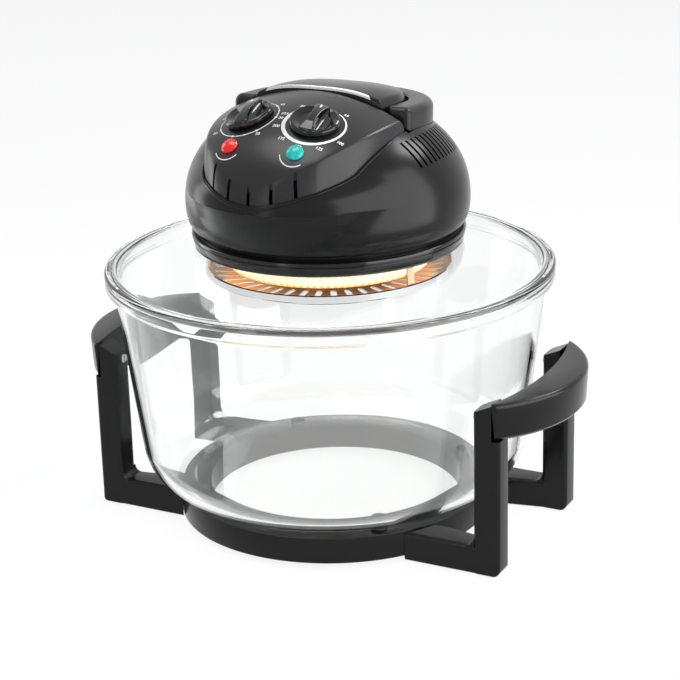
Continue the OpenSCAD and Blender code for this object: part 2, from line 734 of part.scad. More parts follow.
// Reflector dish above the lamp, with a shallow fluted rim
flutes = 42;
flare_w = 12;
dish_r = guard_r - 4.6;
dish_z = lamp_z + lamp_r + 1.5;
flare_low = dish_z - 2;
flare_lean = atan((dish_z - flare_low) / flare_w);
flare_run = norm([flare_w, dish_z - flare_low]);
module reflector() color("#d9dadb") {
    rotate_extrude($fn = 96) polygon([
        [fan_r + 6, dish_z], [dish_r - flare_w, dish_z], [dish_r, flare_low], [dish_r + 0.8, flare_low],
        [dish_r - flare_w + 0.8, dish_z + 1], [fan_r + 6, dish_z + 1]]);
    for (i = [0:flutes - 1]) rotate(360 * i / flutes) translate([dish_r - flare_w, -1, dish_z])
        rotate([0, flare_lean, 0]) translate([1, 0, -0.5]) cube([flare_run - 2, 2, 1]);
    for (a = [0:2]) rotate(120 * a) translate([lamp_loop - 12, 0, dish_z + 0.5])
        cylinder(r = 4, h = shield_z - dish_z - 0.5);
}

module guard_ring() color("#e4e5e6") rotate_extrude($fn = 128) polygon([
    [guard_r - 1.2, guard_base + 1], [guard_r - 3, guard_base], [guard_r - 3, guard_base + 1],
    [guard_r - 1.8, guard_base + 2], [guard_r - 1.8, guard_top - 0.6], [guard_r - 1, guard_top],
    [guard_r, guard_top - 0.6], [guard_r, guard_base + 1.8]]);

// Stamped guard below the lamp: slots under the lamp, a ring of fine holes, and slots under the fan
grille_z = guard_base + 2.4;
grille_t = 1;
slot_w = 4.4;
slot_row = [lamp_loop - 8, dish_r - 1.6];
hole_r = 0.9;
hole_ring = slot_row[0] - 5;
fan_slots = 18;
fan_row = [fan_r - 20, fan_r + 12];
module slot_row_of(row, n, w) for (i = [0:n - 1]) rotate(360 * i / n)
    translate([row[0], -w / 2]) pill(row[1] - row[0], w, w / 2 - eps);
module guard_grille() color("#c8c9cb") translate([0, 0, grille_z]) difference() {
    cylinder(r = guard_r - 1.8, h = grille_t);
    translate([0, 0, -1]) linear_extrude(grille_t + 2) {
        slot_row_of(slot_row, flutes, slot_w);
        slot_row_of(fan_row, fan_slots, slot_w - 1);
    }
    for (i = [0:2 * flutes - 1]) rotate(180 * i / flutes) translate([hole_ring, 0, -1])
        cylinder(r = hole_r, h = grille_t + 2, $fn = 16);
}

// Straps that hang the guard ring from the collar
strap_w = 6;
strap_x = sqrt(pow(guard_r - 1.8, 2) - strap_w * strap_w / 4);
module guard_straps() color("#c2c3c5") for (a = [0:2]) rotate(120 * a - 22) {
    translate([strap_x - 1.5, -strap_w / 2, grille_z + grille_t])
        cube([1.5, strap_w, head_z - grille_z - grille_t]);
}

// Halogen lamp: a loop of tube with ceramic ends
lamp_open = 24;
lamp_socket = 2.1;
lead_angle = 0.35;
module lamp_loop_of(r, cut) rotate(90 + cut / 2) rotate_extrude(angle = 360 - cut, $fn = 128)
    translate([lamp_loop, 0]) circle(r, $fn = 32);
module lamp_tube() color("#ffd9a0", 0.5) translate([0, 0, lamp_z]) difference() {
    lamp_loop_of(lamp_r, lamp_open);
    lamp_loop_of(lamp_r - 1.2, lamp_open - 2);
}
module lamp_filament() color("#ff8a2a") translate([0, 0, lamp_z])
    lamp_loop_of(2, lamp_open - 2 * lead_angle);
module lamp_ends() color("#e9e6de") for (s = [-1, 1])
    rotate(90 + s * (lamp_open / 2 - 3.2)) translate([lamp_loop, 0, lamp_z]) {
    rotate([90, 0, 0]) translate([0, 0, -5.5]) difference() {
        cylinder(r = lamp_r + 1.5, h = 11);
        translate([0, 0, s > 0 ? -1 : 11 - lamp_socket]) cylinder(r = lamp_r + 0.1, h = lamp_socket + 1);
    }
    translate([-3, -3, lamp_r]) cube([6, 6, dish_z - lamp_z - lamp_r]);
}
module lamp_clips() color("#b9babc") for (a = [-15, 195]) rotate(a) translate([lamp_loop, 0, lamp_z]) {
    rotate([90, 0, 0]) translate([0, 0, -2]) ring(lamp_r + 1, 0.9, 4);
    translate([-2, -2, lamp_r + 0.9]) cube([4, 4, dish_z - lamp_z - lamp_r - 0.9]);
}

// Motor, shaft and fans
module motor_stator() color("#8d8f92") translate([0, 0, motor_z]) difference() {
    cylinder(r = motor_r, h = motor_h);
    translate([0, 0, 3]) cylinder(r = motor_r - 8, h = motor_h - 6);
    translate([0, 0, -1]) cylinder(r = bush_r, h = motor_h + 2);
}
module motor_bushes() color("#c79a54") for (z = [motor_z, motor_z + motor_h - 3])
    translate([0, 0, z]) difference() {
    cylinder(r = bush_r, h = 3);
    translate([0, 0, -1]) cylinder(r = shaft_r + running, h = 5);
}
module motor_bracket() color("#b0b2b5") difference() {
    union() {
        translate([0, 0, motor_z - 2]) ring(motor_r + 10.5, 16, 2);
        for (a = [0:2]) rotate(120 * a + 30) translate([motor_r + 6, 0, shield_z + shield_t])
            cylinder(r = 3, h = motor_z - shield_z - shield_t - 1);
    }
    for (a = [0:2]) rotate(120 * a + 30) translate([motor_r + 6, 0, shield_z])
        cylinder(r = screw_r, h = 12);
}
shaft_top = motor_z + motor_h + 4;
shaft_low = guard_top + 1;
module motor_shaft() color("#d0d1d3") translate([0, 0, shaft_low])
    cylinder(r = shaft_r, h = shaft_top - shaft_low);
module motor_rotor() color("#77797c") translate([0, 0, motor_z + 4]) difference() {
    cylinder(r = motor_r - 9, h = motor_h - 8);
    translate([0, 0, -1]) cylinder(r = shaft_r, h = motor_h);
}
fan_z = shaft_low + 1;
fan_h = 9;
module wheel(r, hub, blades, h, tilt) difference() {
    union() {
        cylinder(r = hub, h = h);
        cylinder(r = r - 3, h = 1);
        for (i = [0:blades - 1]) rotate(360 * i / blades) translate([hub - 1, 0, h / 2 + 0.2])
            rotate([tilt, 0, 0]) translate([0, -0.6, -h / 2 + 0.6]) cube([r - hub, 1.2, h - 1.2]);
    }
    translate([0, 0, -1]) cylinder(r = shaft_r, h = h + 2);
}
module convection_fan() color("#c6c8ca") translate([0, 0, fan_z]) wheel(fan_r, 7, fan_blades, fan_h, 12);
module cooling_fan() color("#303033") translate([0, 0, cooling_z]) wheel(fan_r - 11, 6, 8, 8, 20);

// Electrical pieces inside the head
switch_y = 26;
switch_x = hoop_in + hoop_w / 2;
plunger_r = 2.4;
function under_hoop(y, gap) = hinge_z + (hoop_base - gap) / cos(hoop_tilt) + (y - hinge_y) * tan(hoop_tilt);
plunger_up = under_hoop(switch_y, 0);
switch_top = under_hoop(switch_y + 12, fit + wall);
module plunger_hole() translate([switch_x, switch_y, plunger_up - 30])
    cylinder(r = plunger_r + running, h = 40);
module switch_plunger() color("#d8d8d4") translate([switch_x, switch_y, plunger_up - 16])
    cylinder(r = plunger_r, h = 16 - fit);
module safety_switch() color("#3b3f48") difference() {
    translate([switch_x - 6, switch_y - 12, switch_top - 15]) cube([12, 24, 15]);
    translate([switch_x, switch_y, plunger_up - 20]) cylinder(r = plunger_r + running, h = 20);
}
module thermal_cutout() color("#c9b98a") translate([52, 30, shield_z + shield_t]) {
    cylinder(r = 8, h = 6);
    translate([-10, -3, 0]) cube([20, 6, 1]);
}
module terminal_block() color("#e6e2d4") translate([-block[0] / 2, 58, shield_z + shield_t]) difference() {
    cube(block);
    for (i = [-1:1]) translate([(0.5 + i * 0.31) * block[0], block[1] / 2, 3]) cylinder(r = 2, h = block[2]);
}
block = [32, 14, 12];
module cord_gland() color("#161617") difference() {
    translate([0, dome_r - 10, gland_z]) rotate([-90, 0, 0]) {
        cylinder(r = gland_r, h = 11);
        translate([0, 0, 10]) cylinder(r1 = gland_r + 2, r2 = gland_r - 1, h = gland_out);
    }
    translate([0, dome_r - 20, gland_z]) rotate([-90, 0, 0]) cylinder(r = cord_r, h = 2 * gland_out + 20);
}
module handle_pins() color("#b9babc") mirrored() translate([hoop_in - pin_in, hinge_y, hinge_z])
    rotate([0, 90, 0]) cylinder(r = pin_r, h = pin_in + pin_out);
module head_screws() color("#8c8c90") for (a = [0:3]) rotate(45 + 90 * a)
    translate([screw_at, 0, head_z]) screw(screw_r, 16, 3.2);

stand_ring();
leg_front_right();
leg_rear_right();
leg_front_left();
leg_rear_left();
grip_right();
grip_left();
leg_screws();
grip_screws();
stand_feet();
bowl_pads();
glass_bowl();
glass_lid();
lid_gasket();
collar();
head_shell();
control_panel();
crown_cover();
trim_strip();
power_lens();
heat_lens();
timer_mechanism();
thermostat();
heat_shield();
reflector();
guard_ring();
guard_grille();
guard_straps();
lamp_tube();
lamp_filament();
lamp_ends();
lamp_clips();
motor_stator();
motor_bracket();
motor_bushes();
safety_switch();
thermal_cutout();
terminal_block();
cord_gland();
handle_pins();
head_screws();
bracket_screws();
timer_knob();
timer_spindle();
temperature_knob();
temperature_spindle();
carry_handle();
switch_plunger();
motor_shaft();
motor_rotor();
convection_fan();
cooling_fan();
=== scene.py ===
"""Halogen oven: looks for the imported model, laid out as a Blender add-on."""

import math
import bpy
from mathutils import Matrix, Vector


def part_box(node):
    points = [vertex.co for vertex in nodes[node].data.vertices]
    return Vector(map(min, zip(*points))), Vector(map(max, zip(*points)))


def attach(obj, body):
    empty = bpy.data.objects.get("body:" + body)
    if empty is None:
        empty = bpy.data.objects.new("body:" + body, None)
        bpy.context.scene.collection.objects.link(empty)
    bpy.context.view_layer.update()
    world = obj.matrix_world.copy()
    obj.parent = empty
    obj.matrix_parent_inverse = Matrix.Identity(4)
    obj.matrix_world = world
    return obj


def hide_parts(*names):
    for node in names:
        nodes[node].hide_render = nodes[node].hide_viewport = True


bl_info = {
    "name": "Halogen Oven",
    "version": (1, 0, 0),
    "blender": (4, 5, 0),
    "location": "3D View > Sidebar > Oven",
    "description": "Glass, mouldings, heater and controls of a countertop halogen oven",
    "category": "Object",
}

import bmesh
import bpy
from bpy.props import FloatProperty, FloatVectorProperty, IntProperty, PointerProperty
from mathutils import Matrix, Vector

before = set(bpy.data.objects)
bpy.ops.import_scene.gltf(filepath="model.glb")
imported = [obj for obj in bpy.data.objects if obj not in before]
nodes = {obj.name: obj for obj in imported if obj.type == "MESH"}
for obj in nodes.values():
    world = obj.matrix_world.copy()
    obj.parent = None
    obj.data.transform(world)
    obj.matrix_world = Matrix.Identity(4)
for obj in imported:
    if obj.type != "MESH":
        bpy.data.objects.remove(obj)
MM = 0.001


# Shader maths


class Sock:
    """A shader socket that takes part in Python arithmetic."""

    def __init__(self, mat, out):
        self.mat = mat
        self.out = out

    def _math(self, op, *others):
        return self.mat.node("ShaderNodeMath", {"operation": op}, dict(enumerate((self,) + others)))

    def __add__(self, other):
        return self._math("ADD", other)

    __radd__ = __add__

    def __sub__(self, other):
        return self._math("SUBTRACT", other)

    def __rsub__(self, other):
        return self.mat.node("ShaderNodeMath", {"operation": "SUBTRACT"}, {0: other, 1: self})

    def __mul__(self, other):
        return self._math("MULTIPLY", other)

    __rmul__ = __mul__

    def __abs__(self):
        return self._math("ABSOLUTE")

    def clamp(self):
        return self._math("MAXIMUM", 0.0)._math("MINIMUM", 1.0)

    def sin(self):
        return self._math("SINE")

    def smooth(self, low, high):
        """0 below low, 1 above high, with a soft ramp between."""
        inputs = {"Value": self, "From Min": low, "From Max": high}
        return self.mat.node("ShaderNodeMapRange", {"interpolation_type": "SMOOTHSTEP"}, inputs, "Result")


class Finish:
    """A material, or the world, built node by node."""

    def __init__(self, name, kind="materials", output="ShaderNodeOutputMaterial"):
        self.mat = getattr(bpy.data, kind).new(name)
        self.mat.use_nodes = True
        self.tree = self.mat.node_tree
        self.tree.nodes.clear()
        self.output = self.tree.nodes.new(output)

    def node(self, kind, settings=None, inputs=None, out=0):
        """Adds a node: its settings first, then the values or links of its sockets."""
        n = self.tree.nodes.new(kind)
        for key, value in (settings or {}).items():
            setattr(n, key, value)
        for key, value in (inputs or {}).items():
            if isinstance(value, Sock):
                self.tree.links.new(value.out, n.inputs[key])
            else:
                n.inputs[key].default_value = value
        return Sock(self, n.outputs[out])

    def place(self):
        """The point on the surface, in metres, in the object's own frame."""
        return self.node("ShaderNodeTexCoord", out="Object")

    def axis(self, name):
        """One coordinate of the point on the surface."""
        return self.node("ShaderNodeSeparateXYZ", None, {0: self.place()}, name)

    def stretched(self, x, y, z):
        """The surface point scaled by axis, for grain that runs one way."""
        return self.node("ShaderNodeVectorMath", {"operation": "MULTIPLY"}, {0: self.place(), 1: (x, y, z)})

    def noise(self, scale, detail=2.0, rough=0.5, vector=None):
        """Soft noise over the surface, from 0 to 1."""
        inputs = {"Vector": vector or self.place(), "Scale": scale, "Detail": detail, "Roughness": rough}
        return self.node("ShaderNodeTexNoise", None, inputs, "Fac")

    def mix(self, factor, a, b):
        """A blend of two colours."""
        return self.node("ShaderNodeMix", {"data_type": "RGBA"}, {0: factor, 6: a, 7: b}, 2)

    def bump(self, height, strength, distance):
        """A relief as deep as the distance, in metres."""
        inputs = {"Height": height, "Strength": strength, "Distance": distance}
        return self.node("ShaderNodeBump", None, inputs, "Normal")

    def principled(self, **inputs):
        """The main shader, from its sockets' names with a low line for each space."""
        named = {key.replace("_", " "): value for key, value in inputs.items()}
        return self.node("ShaderNodeBsdfPrincipled", None, named)

    def seen(self):
        """1 for a ray that shows the background, straight on, in metal or in glass, and 0 for the light."""
        path = self.tree.nodes.new("ShaderNodeLightPath")
        names = ("Is Camera Ray", "Is Glossy Ray", "Is Transmission Ray")
        camera, gloss, glass = (Sock(self, path.outputs[name]) for name in names)
        return (camera + gloss + glass).clamp()

    def surface(self, shader):
        """Ends the finish with its shader."""
        self.tree.links.new(shader.out, self.output.inputs["Surface"])
        return self.mat


def rgba(colour, gain=1.0):
    """A colour with its alpha, lighter or darker by a gain."""
    return (colour[0] * gain, colour[1] * gain, colour[2] * gain, 1.0)


# Finishes


def moulded(name, colour, rough, grain, coat=0.0, shine=0.5):
    """Injection-moulded plastic: a fine spark texture, slight flow marks and a gently uneven tone."""
    f = Finish(name)
    swirl, marks, speckle = 0.12, 0.10, 0.06
    broad = f.noise(16.0, 3.0)
    spark = f.noise(1500.0, 2.0, 0.6)
    flow = f.noise(6.0, 4.0, 0.6, f.stretched(1.0, 1.0, 3.0))
    shade = ((broad - 0.5) * swirl + 0.5).clamp()
    return f.surface(f.principled(
        Base_Color=f.mix(shade, rgba(colour, 0.86), rgba(colour, 1.16)),
        Roughness=((flow - 0.5) * marks + (spark - 0.5) * speckle + rough).clamp(),
        Normal=f.bump(spark, grain, 0.00006),
        Specular_IOR_Level=shine,
        Coat_Weight=coat,
        Coat_Roughness=0.05,
    ))


def metal(name, colour, rough, brush=(40.0, 40.0, 900.0), amount=0.1, stain=0.0):
    """Rolled or plated metal: fine drawing lines and, near the lamp, heat colour."""
    f = Finish(name)
    heat = (0.62, 0.42, 0.26)
    lines = f.noise(1.0, 3.0, 0.6, f.stretched(*brush))
    cloud = f.noise(22.0, 3.0)
    return f.surface(f.principled(
        Base_Color=f.mix((cloud * stain).clamp(), rgba(colour), rgba(heat)),
        Metallic=1.0,
        Roughness=((lines - 0.5) * amount + rough).clamp(),
        Normal=f.bump(lines, 0.12, 0.00003),
    ))


def clear_glass(name, tint):
    """Borosilicate glass with the faintest smear, which lets light through to the shadows."""
    f = Finish(name)
    smear = f.noise(9.0, 3.0, 0.55, f.stretched(1.0, 1.0, 0.35))
    glass = f.principled(
        Base_Color=f.mix(smear, rgba(tint), rgba(tint, 0.985)),
        Roughness=smear.smooth(0.62, 0.82) * 0.03 + 0.003,
        Transmission_Weight=1.0,
        IOR=1.47,
    )
    clear = f.node("ShaderNodeBsdfTransparent", None, {"Color": rgba(tint, 0.97)})
    shadow = f.node("ShaderNodeLightPath", out="Is Shadow Ray")
    return f.surface(f.node("ShaderNodeMixShader", None, {0: shadow, 1: glass, 2: clear}))


def jewel(name, colour, deep, light):
    """Moulded lens, lit from behind: its colour and a deeper tone mixed at random in fine noise, with a faint
    glow.
    """
    f = Finish(name)
    tone = f.mix(f.noise(420.0, 1.0), rgba(deep), rgba(colour))
    return f.surface(f.principled(
        Base_Color=tone, Roughness=0.12, Specular_IOR_Level=0.4,
        Emission_Color=tone, Emission_Strength=light,
    ))


def glowing(name, edge, core, light, middle, reach, turns):
    """Hot lamp: white at the height of its middle, warmer above and below, with the filament's turns."""
    f = Finish(name)
    ripple = 0.16
    away = abs(f.axis("Z") - middle) * (1.0 / reach)
    angle = f.node("ShaderNodeMath", {"operation": "ARCTAN2"}, {0: f.axis("Y"), 1: f.axis("X")})
    away = away + (angle * turns).sin() * ripple
    tone = f.mix(away.smooth(0.2, 1.0), rgba(core), rgba(edge))
    return f.surface(f.principled(
        Base_Color=tone, Roughness=0.4, Emission_Color=tone, Emission_Strength=light,
    ))


def finish_makers():
    """Every finish of the oven by name."""
    look = bpy.context.scene.oven_look
    lamp_z = bpy.context.scene.oven_head.lamp_z
    return {
        "shell": lambda: moulded("shell_charcoal", look.shell, 0.23, 0.12, shine=0.17),
        "panel": lambda: moulded("panel_charcoal", look.panel, 0.28, 0.2, shine=0.24),
        "collar": lambda: moulded("collar_black", look.collar, 0.12, 0.04, 0.2, shine=0.25),
        "handle": lambda: moulded("handle_charcoal", look.handle, 0.3, 0.25, shine=0.2),
        "stand": lambda: moulded("stand_black", look.stand, 0.2, 0.1, shine=0.2),
        "knob": lambda: moulded("knob_black", look.knob, 0.08, 0.03, 0.15, shine=0.3),
        "rubber": lambda: moulded("foot_rubber", (0.03, 0.03, 0.031), 0.7, 0.6),
        "nylon": lambda: moulded("plunger_nylon", (0.7, 0.7, 0.67), 0.45, 0.2),
        "phenolic": lambda: moulded("cutout_phenolic", (0.42, 0.32, 0.17), 0.5, 0.3),
        "ceramic": lambda: moulded("ceramic_white", (0.78, 0.75, 0.69), 0.6, 0.5),
        "works": lambda: moulded("mechanism_grey", (0.32, 0.32, 0.30), 0.5, 0.3),
        "motor": lambda: moulded("motor_steel", (0.16, 0.165, 0.17), 0.35, 0.3),
        "print": lambda: moulded("print_white", look.print, 0.5, 0.1),
        "glass": lambda: clear_glass("clear_glass", look.glass),
        "steel": lambda: metal("pressed_steel", (0.56, 0.56, 0.57), 0.3),
        "screw": lambda: metal("screw_steel", (0.5, 0.5, 0.51), 0.25, (600.0, 600.0, 600.0)),
        "chrome": lambda: metal("guard_chrome", (0.84, 0.84, 0.85), 0.09, (20.0, 20.0, 900.0), 0.06),
        "guard": lambda: metal("guard_copper_tint", (0.72, 0.5, 0.34), 0.34, (90.0, 90.0, 90.0), 0.1, 0.6),
        "reflector": lambda: metal(
            "reflector_bright", (0.9, 0.86, 0.8), 0.18, (30.0, 30.0, 300.0), 0.1, 0.35
        ),
        "silver": lambda: metal("brow_silver", (0.42, 0.42, 0.43), 0.36, (700.0, 60.0, 60.0)),
        "bronze": lambda: metal("bush_bronze", (0.55, 0.36, 0.16), 0.35),
        "red": lambda: jewel("lens_red", look.red, (0.42, 0.004, 0.003), 0.3),
        "teal": lambda: jewel("lens_teal", look.teal, (0.0, 0.20, 0.19), 0.35),
        "filament": lambda: glowing(
            "filament_glow", (1.0, 0.62, 0.22), (1.0, 0.9, 0.62), 6.0, lamp_z, 0.002, 140.0
        ),
        "tube": lambda: glowing(
            "lamp_tube_glow", (0.95, 0.40, 0.09), (1.0, 0.88, 0.56), 1.3, lamp_z, 0.006, 96.0
        ),
    }


FINISHES = {}


def finish(name):
    """Returns a named finish, made once."""
    if name not in FINISHES:
        FINISHES[name] = finish_makers()[name]()
    return FINISHES[name]


def dress(look, *names):
    """Gives CAD nodes a finish."""
    for n in names:
        materials = nodes[n].data.materials
        materials.clear()
        materials.append(finish(look))


# Mesh helpers


def arc(centre, radius, first, last, steps):
    """Points of an arc, with its angles in degrees."""
    out = []
    for i in range(steps + 1):
        a = math.radians(first + (last - first) * i / steps)
        out.append((centre[0] + radius * math.cos(a), centre[1] + radius * math.sin(a)))
    return out


def circle(radius, height, steps):
    """A level ring of points about Z."""
    turns = [2 * math.pi * i / steps for i in range(steps)]
    return [(radius * math.cos(a), radius * math.sin(a), height) for a in turns]


def rounded(points, radii, steps, closed=True):
    """A flat outline with its corners cut to arcs, with one radius for all or one for each."""
    out = []
    n = len(points)
    for i, p in enumerate(points):
        r = radii[i] if hasattr(radii, "__len__") else radii
        if r <= 0 or (not closed and i in (0, n - 1)):
            out.append(tuple(p))
            continue
        p = Vector(p)
        a = Vector(points[i - 1]) - p
        b = Vector(points[(i + 1) % n]) - p
        room = 0.48 * min(a.length, b.length)
        a.normalize()
        b.normalize()
        half = math.acos(max(-1, min(1, a.dot(b)))) / 2
        cut = min(r / math.tan(half), room)
        centre = p + (a + b).normalized() * (cut / math.cos(half))
        start = p + a * cut - centre
        end = p + b * cut - centre
        turn = (math.pi - 2 * half) * (1 if start.x * end.y > start.y * end.x else -1)
        for k in range(steps + 1):
            out.append(tuple(centre + Matrix.Rotation(turn * k / steps, 2) @ start))
    return out


def loft(rings):
    """Verts and faces of a closed skin through rings. An end ring of one point closes in a fan."""
    verts, faces, first = [], [], []
    for ring in rings:
        first.append(len(verts))
        verts += ring
    for low, high, a, b in zip(rings, rings[1:], first, first[1:]):
        n = max(len(low), len(high))
        for i in range(n):
            j = (i + 1) % n
            if len(low) == 1:
                faces.append((a, b + j, b + i))
            elif len(high) == 1:
                faces.append((a + i, a + j, b))
            else:
                faces.append((a + i, a + j, b + j, b + i))
    for ring, a, step in ((rings[0], first[0], -1), (rings[-1], first[-1], 1)):
        if len(ring) > 1:
            faces.append(tuple(range(a, a + len(ring)))[::step])
    return verts, faces


def lathe(profile, steps):
    """Verts and faces of a closed outline of (radius, height) turned about Z."""
    verts, faces = [], []
    m = len(profile)
    for i in range(steps):
        a = 2 * math.pi * i / steps
        verts += [(r * math.cos(a), r * math.sin(a), z) for r, z in profile]
        j = (i + 1) % steps
        for k in range(m):
            n = (k + 1) % m
            faces.append((i * m + k, j * m + k, j * m + n, i * m + n))
    return verts, faces


def prism(outline, low, high):
    """An upright prism on a flat outline."""
    return loft([[(x, y, z) for x, y in outline] for z in (low, high)])


def round_bar(radius, low, high, steps=64):
    """A cylinder about Z."""
    return prism(arc((0, 0), radius, 0, 360 - 360 / steps, steps - 1), low, high)


def box(low, high):
    """A box between two corners."""
    outline = [(low[0], low[1]), (high[0], low[1]), (high[0], high[1]), (low[0], high[1])]
    return prism(outline, low[2], high[2])


def moved(shape, matrix):
    """A shape's verts and faces after a change of place."""
    return [matrix @ Vector(v) for v in shape[0]], shape[1]


def joined(shapes):
    """Several shapes as one list of verts and faces."""
    verts, faces = [], []
    for v, f in shapes:
        faces += [tuple(i + len(verts) for i in face) for face in f]
        verts += list(v)
    return verts, faces


def solid(name, shape):
    """A mesh object from verts and faces, facing outwards."""
    mesh = bpy.data.meshes.new(name)
    mesh.from_pydata([tuple(v) for v in shape[0]], [], shape[1])
    b = bmesh.new()
    b.from_mesh(mesh)
    bmesh.ops.remove_doubles(b, verts=b.verts, dist=1e-7)
    bmesh.ops.recalc_face_normals(b, faces=b.faces)
    b.to_mesh(mesh)
    b.free()
    o = bpy.data.objects.new(name, mesh)
    bpy.context.scene.collection.objects.link(o)
    return o


def apply_modifiers(o):
    """Bakes an object's modifiers into its mesh."""
    graph = bpy.context.evaluated_depsgraph_get()
    old = o.data
    mesh = bpy.data.meshes.new_from_object(o.evaluated_get(graph))
    o.modifiers.clear()
    o.data = mesh
    bpy.data.meshes.remove(old)


def carve(o, operation, shape):
    """Cuts, joins or meets a solid with another shape."""
    tool = solid(o.name + "_tool", shape)
    m = o.modifiers.new("carve", "BOOLEAN")
    m.operation = operation
    m.solver = "MANIFOLD"
    m.object = tool
    apply_modifiers(o)
    bpy.data.objects.remove(tool)
    if not o.data.polygons:
        raise RuntimeError(o.name + " has no faces left")


def object_shape(o):
    """An object's verts and faces."""
    return [v.co.copy() for v in o.data.vertices], [tuple(p.vertices) for p in o.data.polygons]


def node_shape(node):
    """A CAD node's verts and faces, with its seams welded."""
    b = bmesh.new()
    b.from_mesh(nodes[node].data)
    bmesh.ops.remove_doubles(b, verts=b.verts, dist=2e-6)
    b.verts.index_update()
    shape = [v.co.copy() for v in b.verts], [tuple(v.index for v in f.verts) for f in b.faces]
    b.free()
    return shape


def piece(o, body, slot, look, replaces=(), crease=30.0):
    """Finishes a solid: smooth faces with sharp edges, its finish, body and the nodes it stands for. The slot
    is not used.
    """
    mesh = o.data
    mesh.shade_smooth()
    mesh.set_sharp_from_angle(angle=math.radians(crease))
    mesh.materials.clear()
    mesh.materials.append(finish(look))
    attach(o, body)
    if replaces:
        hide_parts(*replaces)
    return o


def soften(node, width):
    """The shape of a node of the stand with small rounds on its edges, which stands for the node."""
    mesh = nodes[node].data.copy()
    b = bmesh.new()
    b.from_mesh(mesh)
    bmesh.ops.remove_doubles(b, verts=b.verts, dist=2e-6)
    bmesh.ops.dissolve_limit(b, angle_limit=math.radians(0.5), verts=b.verts, edges=b.edges)
    b.to_mesh(mesh)
    b.free()
    o = bpy.data.objects.new(node + "_moulding", mesh)
    bpy.context.scene.collection.objects.link(o)
    mesh.shade_smooth()
    m = o.modifiers.new("round", "BEVEL")
    m.width = width
    m.segments = 3
    m.limit_method = "ANGLE"
    m.angle_limit = math.radians(34)
    m.miter_outer = "MITER_ARC"
    m.use_clamp_overlap = True
    apply_modifiers(o)
    return piece(o, "stand", "stand_black", "stand", (node,), 40.0)


# Sizes, in millimetres where they are written


def length(name, description, size):
    """A size that the sidebar shows as a length."""
    return FloatProperty(name=name, description=description, default=size * MM, unit="LENGTH", precision=4)


class OvenHead(bpy.types.PropertyGroup):
    """Sizes of the head."""

    collar_r: length("Collar radius", "Outer radius of the collar", 99.5)
    collar_in: length("Collar opening", "Radius of the collar's opening for the heater", 85.0)
    head_z: length("Head height", "Height of the collar's underside", 212.0)
    collar_top: length("Collar top", "Height of the collar's top", 221.0)
    collar_floor: length("Collar floor", "Height of the floor inside the collar", 217.5)
    shell_z: length("Shell foot", "Height of the shell's foot", 224.5)
    shell_foot: length("Foot radius", "Radius of the shell's foot", 97.0)
    neck_r: length("Neck radius", "Radius of the neck between collar and shell", 94.5)
    dome_r: length("Dome radius", "Widest radius of the head", 103.4)
    dome_mid: length("Dome middle", "Height of the head's widest line", 242.0)
    dome_rise: length("Dome rise", "From the widest line to the dome's top", 73.0)
    wall: length("Wall", "Wall of the mouldings", 2.6)
    fit: length("Fit", "Gap between fitted mouldings", 0.3)
    nose_z: length("Nose height", "Height of the nose's foot", 257.0)
    nose_reach: length("Nose reach", "Reach of the panel in front of the axis", 115.5)
    nose_rise: length("Nose rise", "From the nose's foot to the panel's top", 66.0)
    nose_arc: length("Nose radius", "Radius of the nose seen from above", 58.0)
    panel_half: length("Panel half width", "Half width of the panel at its back", 68.5)
    panel_back: length("Panel back", "Place of the panel's back edge", -12.6)
    crown_r: length("Panel crown", "Side to side radius of the panel", 135.0)
    lip: length("Lip", "Reach of the chin's lip beyond the nose", 1.4)
    chin_y: length("Chin middle", "Distance of the chin's own middle in front of the axis", 34.0)
    shoulder_w: length("Shoulder width", "Width of the chin's rounded shoulder", 30.0)
    shoulder_h: length("Shoulder height", "Height of the chin's rounded shoulder", 23.5)
    dial_x: length("Dial offset", "Distance of a dial from the middle", 25.5)
    dial_y: length("Dial reach", "Distance of a dial in front of the axis", 63.6)
    dial_r: length("Dial radius", "Radius of a dial", 17.5)
    dial_h: length("Dial height", "Height of a dial's grip", 10.0)
    lens_y: length("Lens reach", "Distance of a lens in front of the axis", 92.3)
    lens_r: length("Lens radius", "Radius of a lens", 6.2)
    spindle_r: length("Spindle radius", "Radius of a dial's spindle", 3.0)
    hinge_y: length("Hinge place", "Distance of the handle's hinge behind the axis", 2.0)
    hinge_z: length("Hinge height", "Height of the handle's hinge", 304.0)
    hoop_in: length("Handle inside", "Inner radius of the handle's bend", 53.0)
    hoop_w: length("Handle width", "Width of the handle's section", 18.0)
    hoop_t: length("Handle thickness", "Height of the handle's section", 17.0)
    hoop_y: length("Handle bend", "Distance of the bend's middle behind the hinge", 12.0)
    hoop_low: length("Handle foot", "The handle's underside from the hinge", -7.5)
    ear_front: length("Handle front", "Reach of the arms in front of the hinge", 12.0)
    ear_r: length("Ear room", "Radius that an arm's end sweeps about the hinge", 15.0)
    crown_half: length("Crown half width", "Half width of the crown cover", 51.8)
    crown_top: length("Crown top", "Height of the crown cover", 325.0)
    crown_front: length("Crown front", "Place of the crown cover's front edge", -12.0)
    lamp_z: length("Lamp height", "Height of the lamp's loop", 200.5)
    form: FloatProperty(name="Form", description="Exponent of the head's curves", default=2.2)
    flank: FloatProperty(name="Flank", description="Exponent of the panel's flanks and edges", default=2.35)
    hoop_tilt: FloatProperty(
        name="Handle tilt", description="Rest tilt of the handle", default=math.radians(-4), subtype="ANGLE"
    )
    vents: IntProperty(name="Vents", description="Vents on each side", default=12, min=0, max=16)


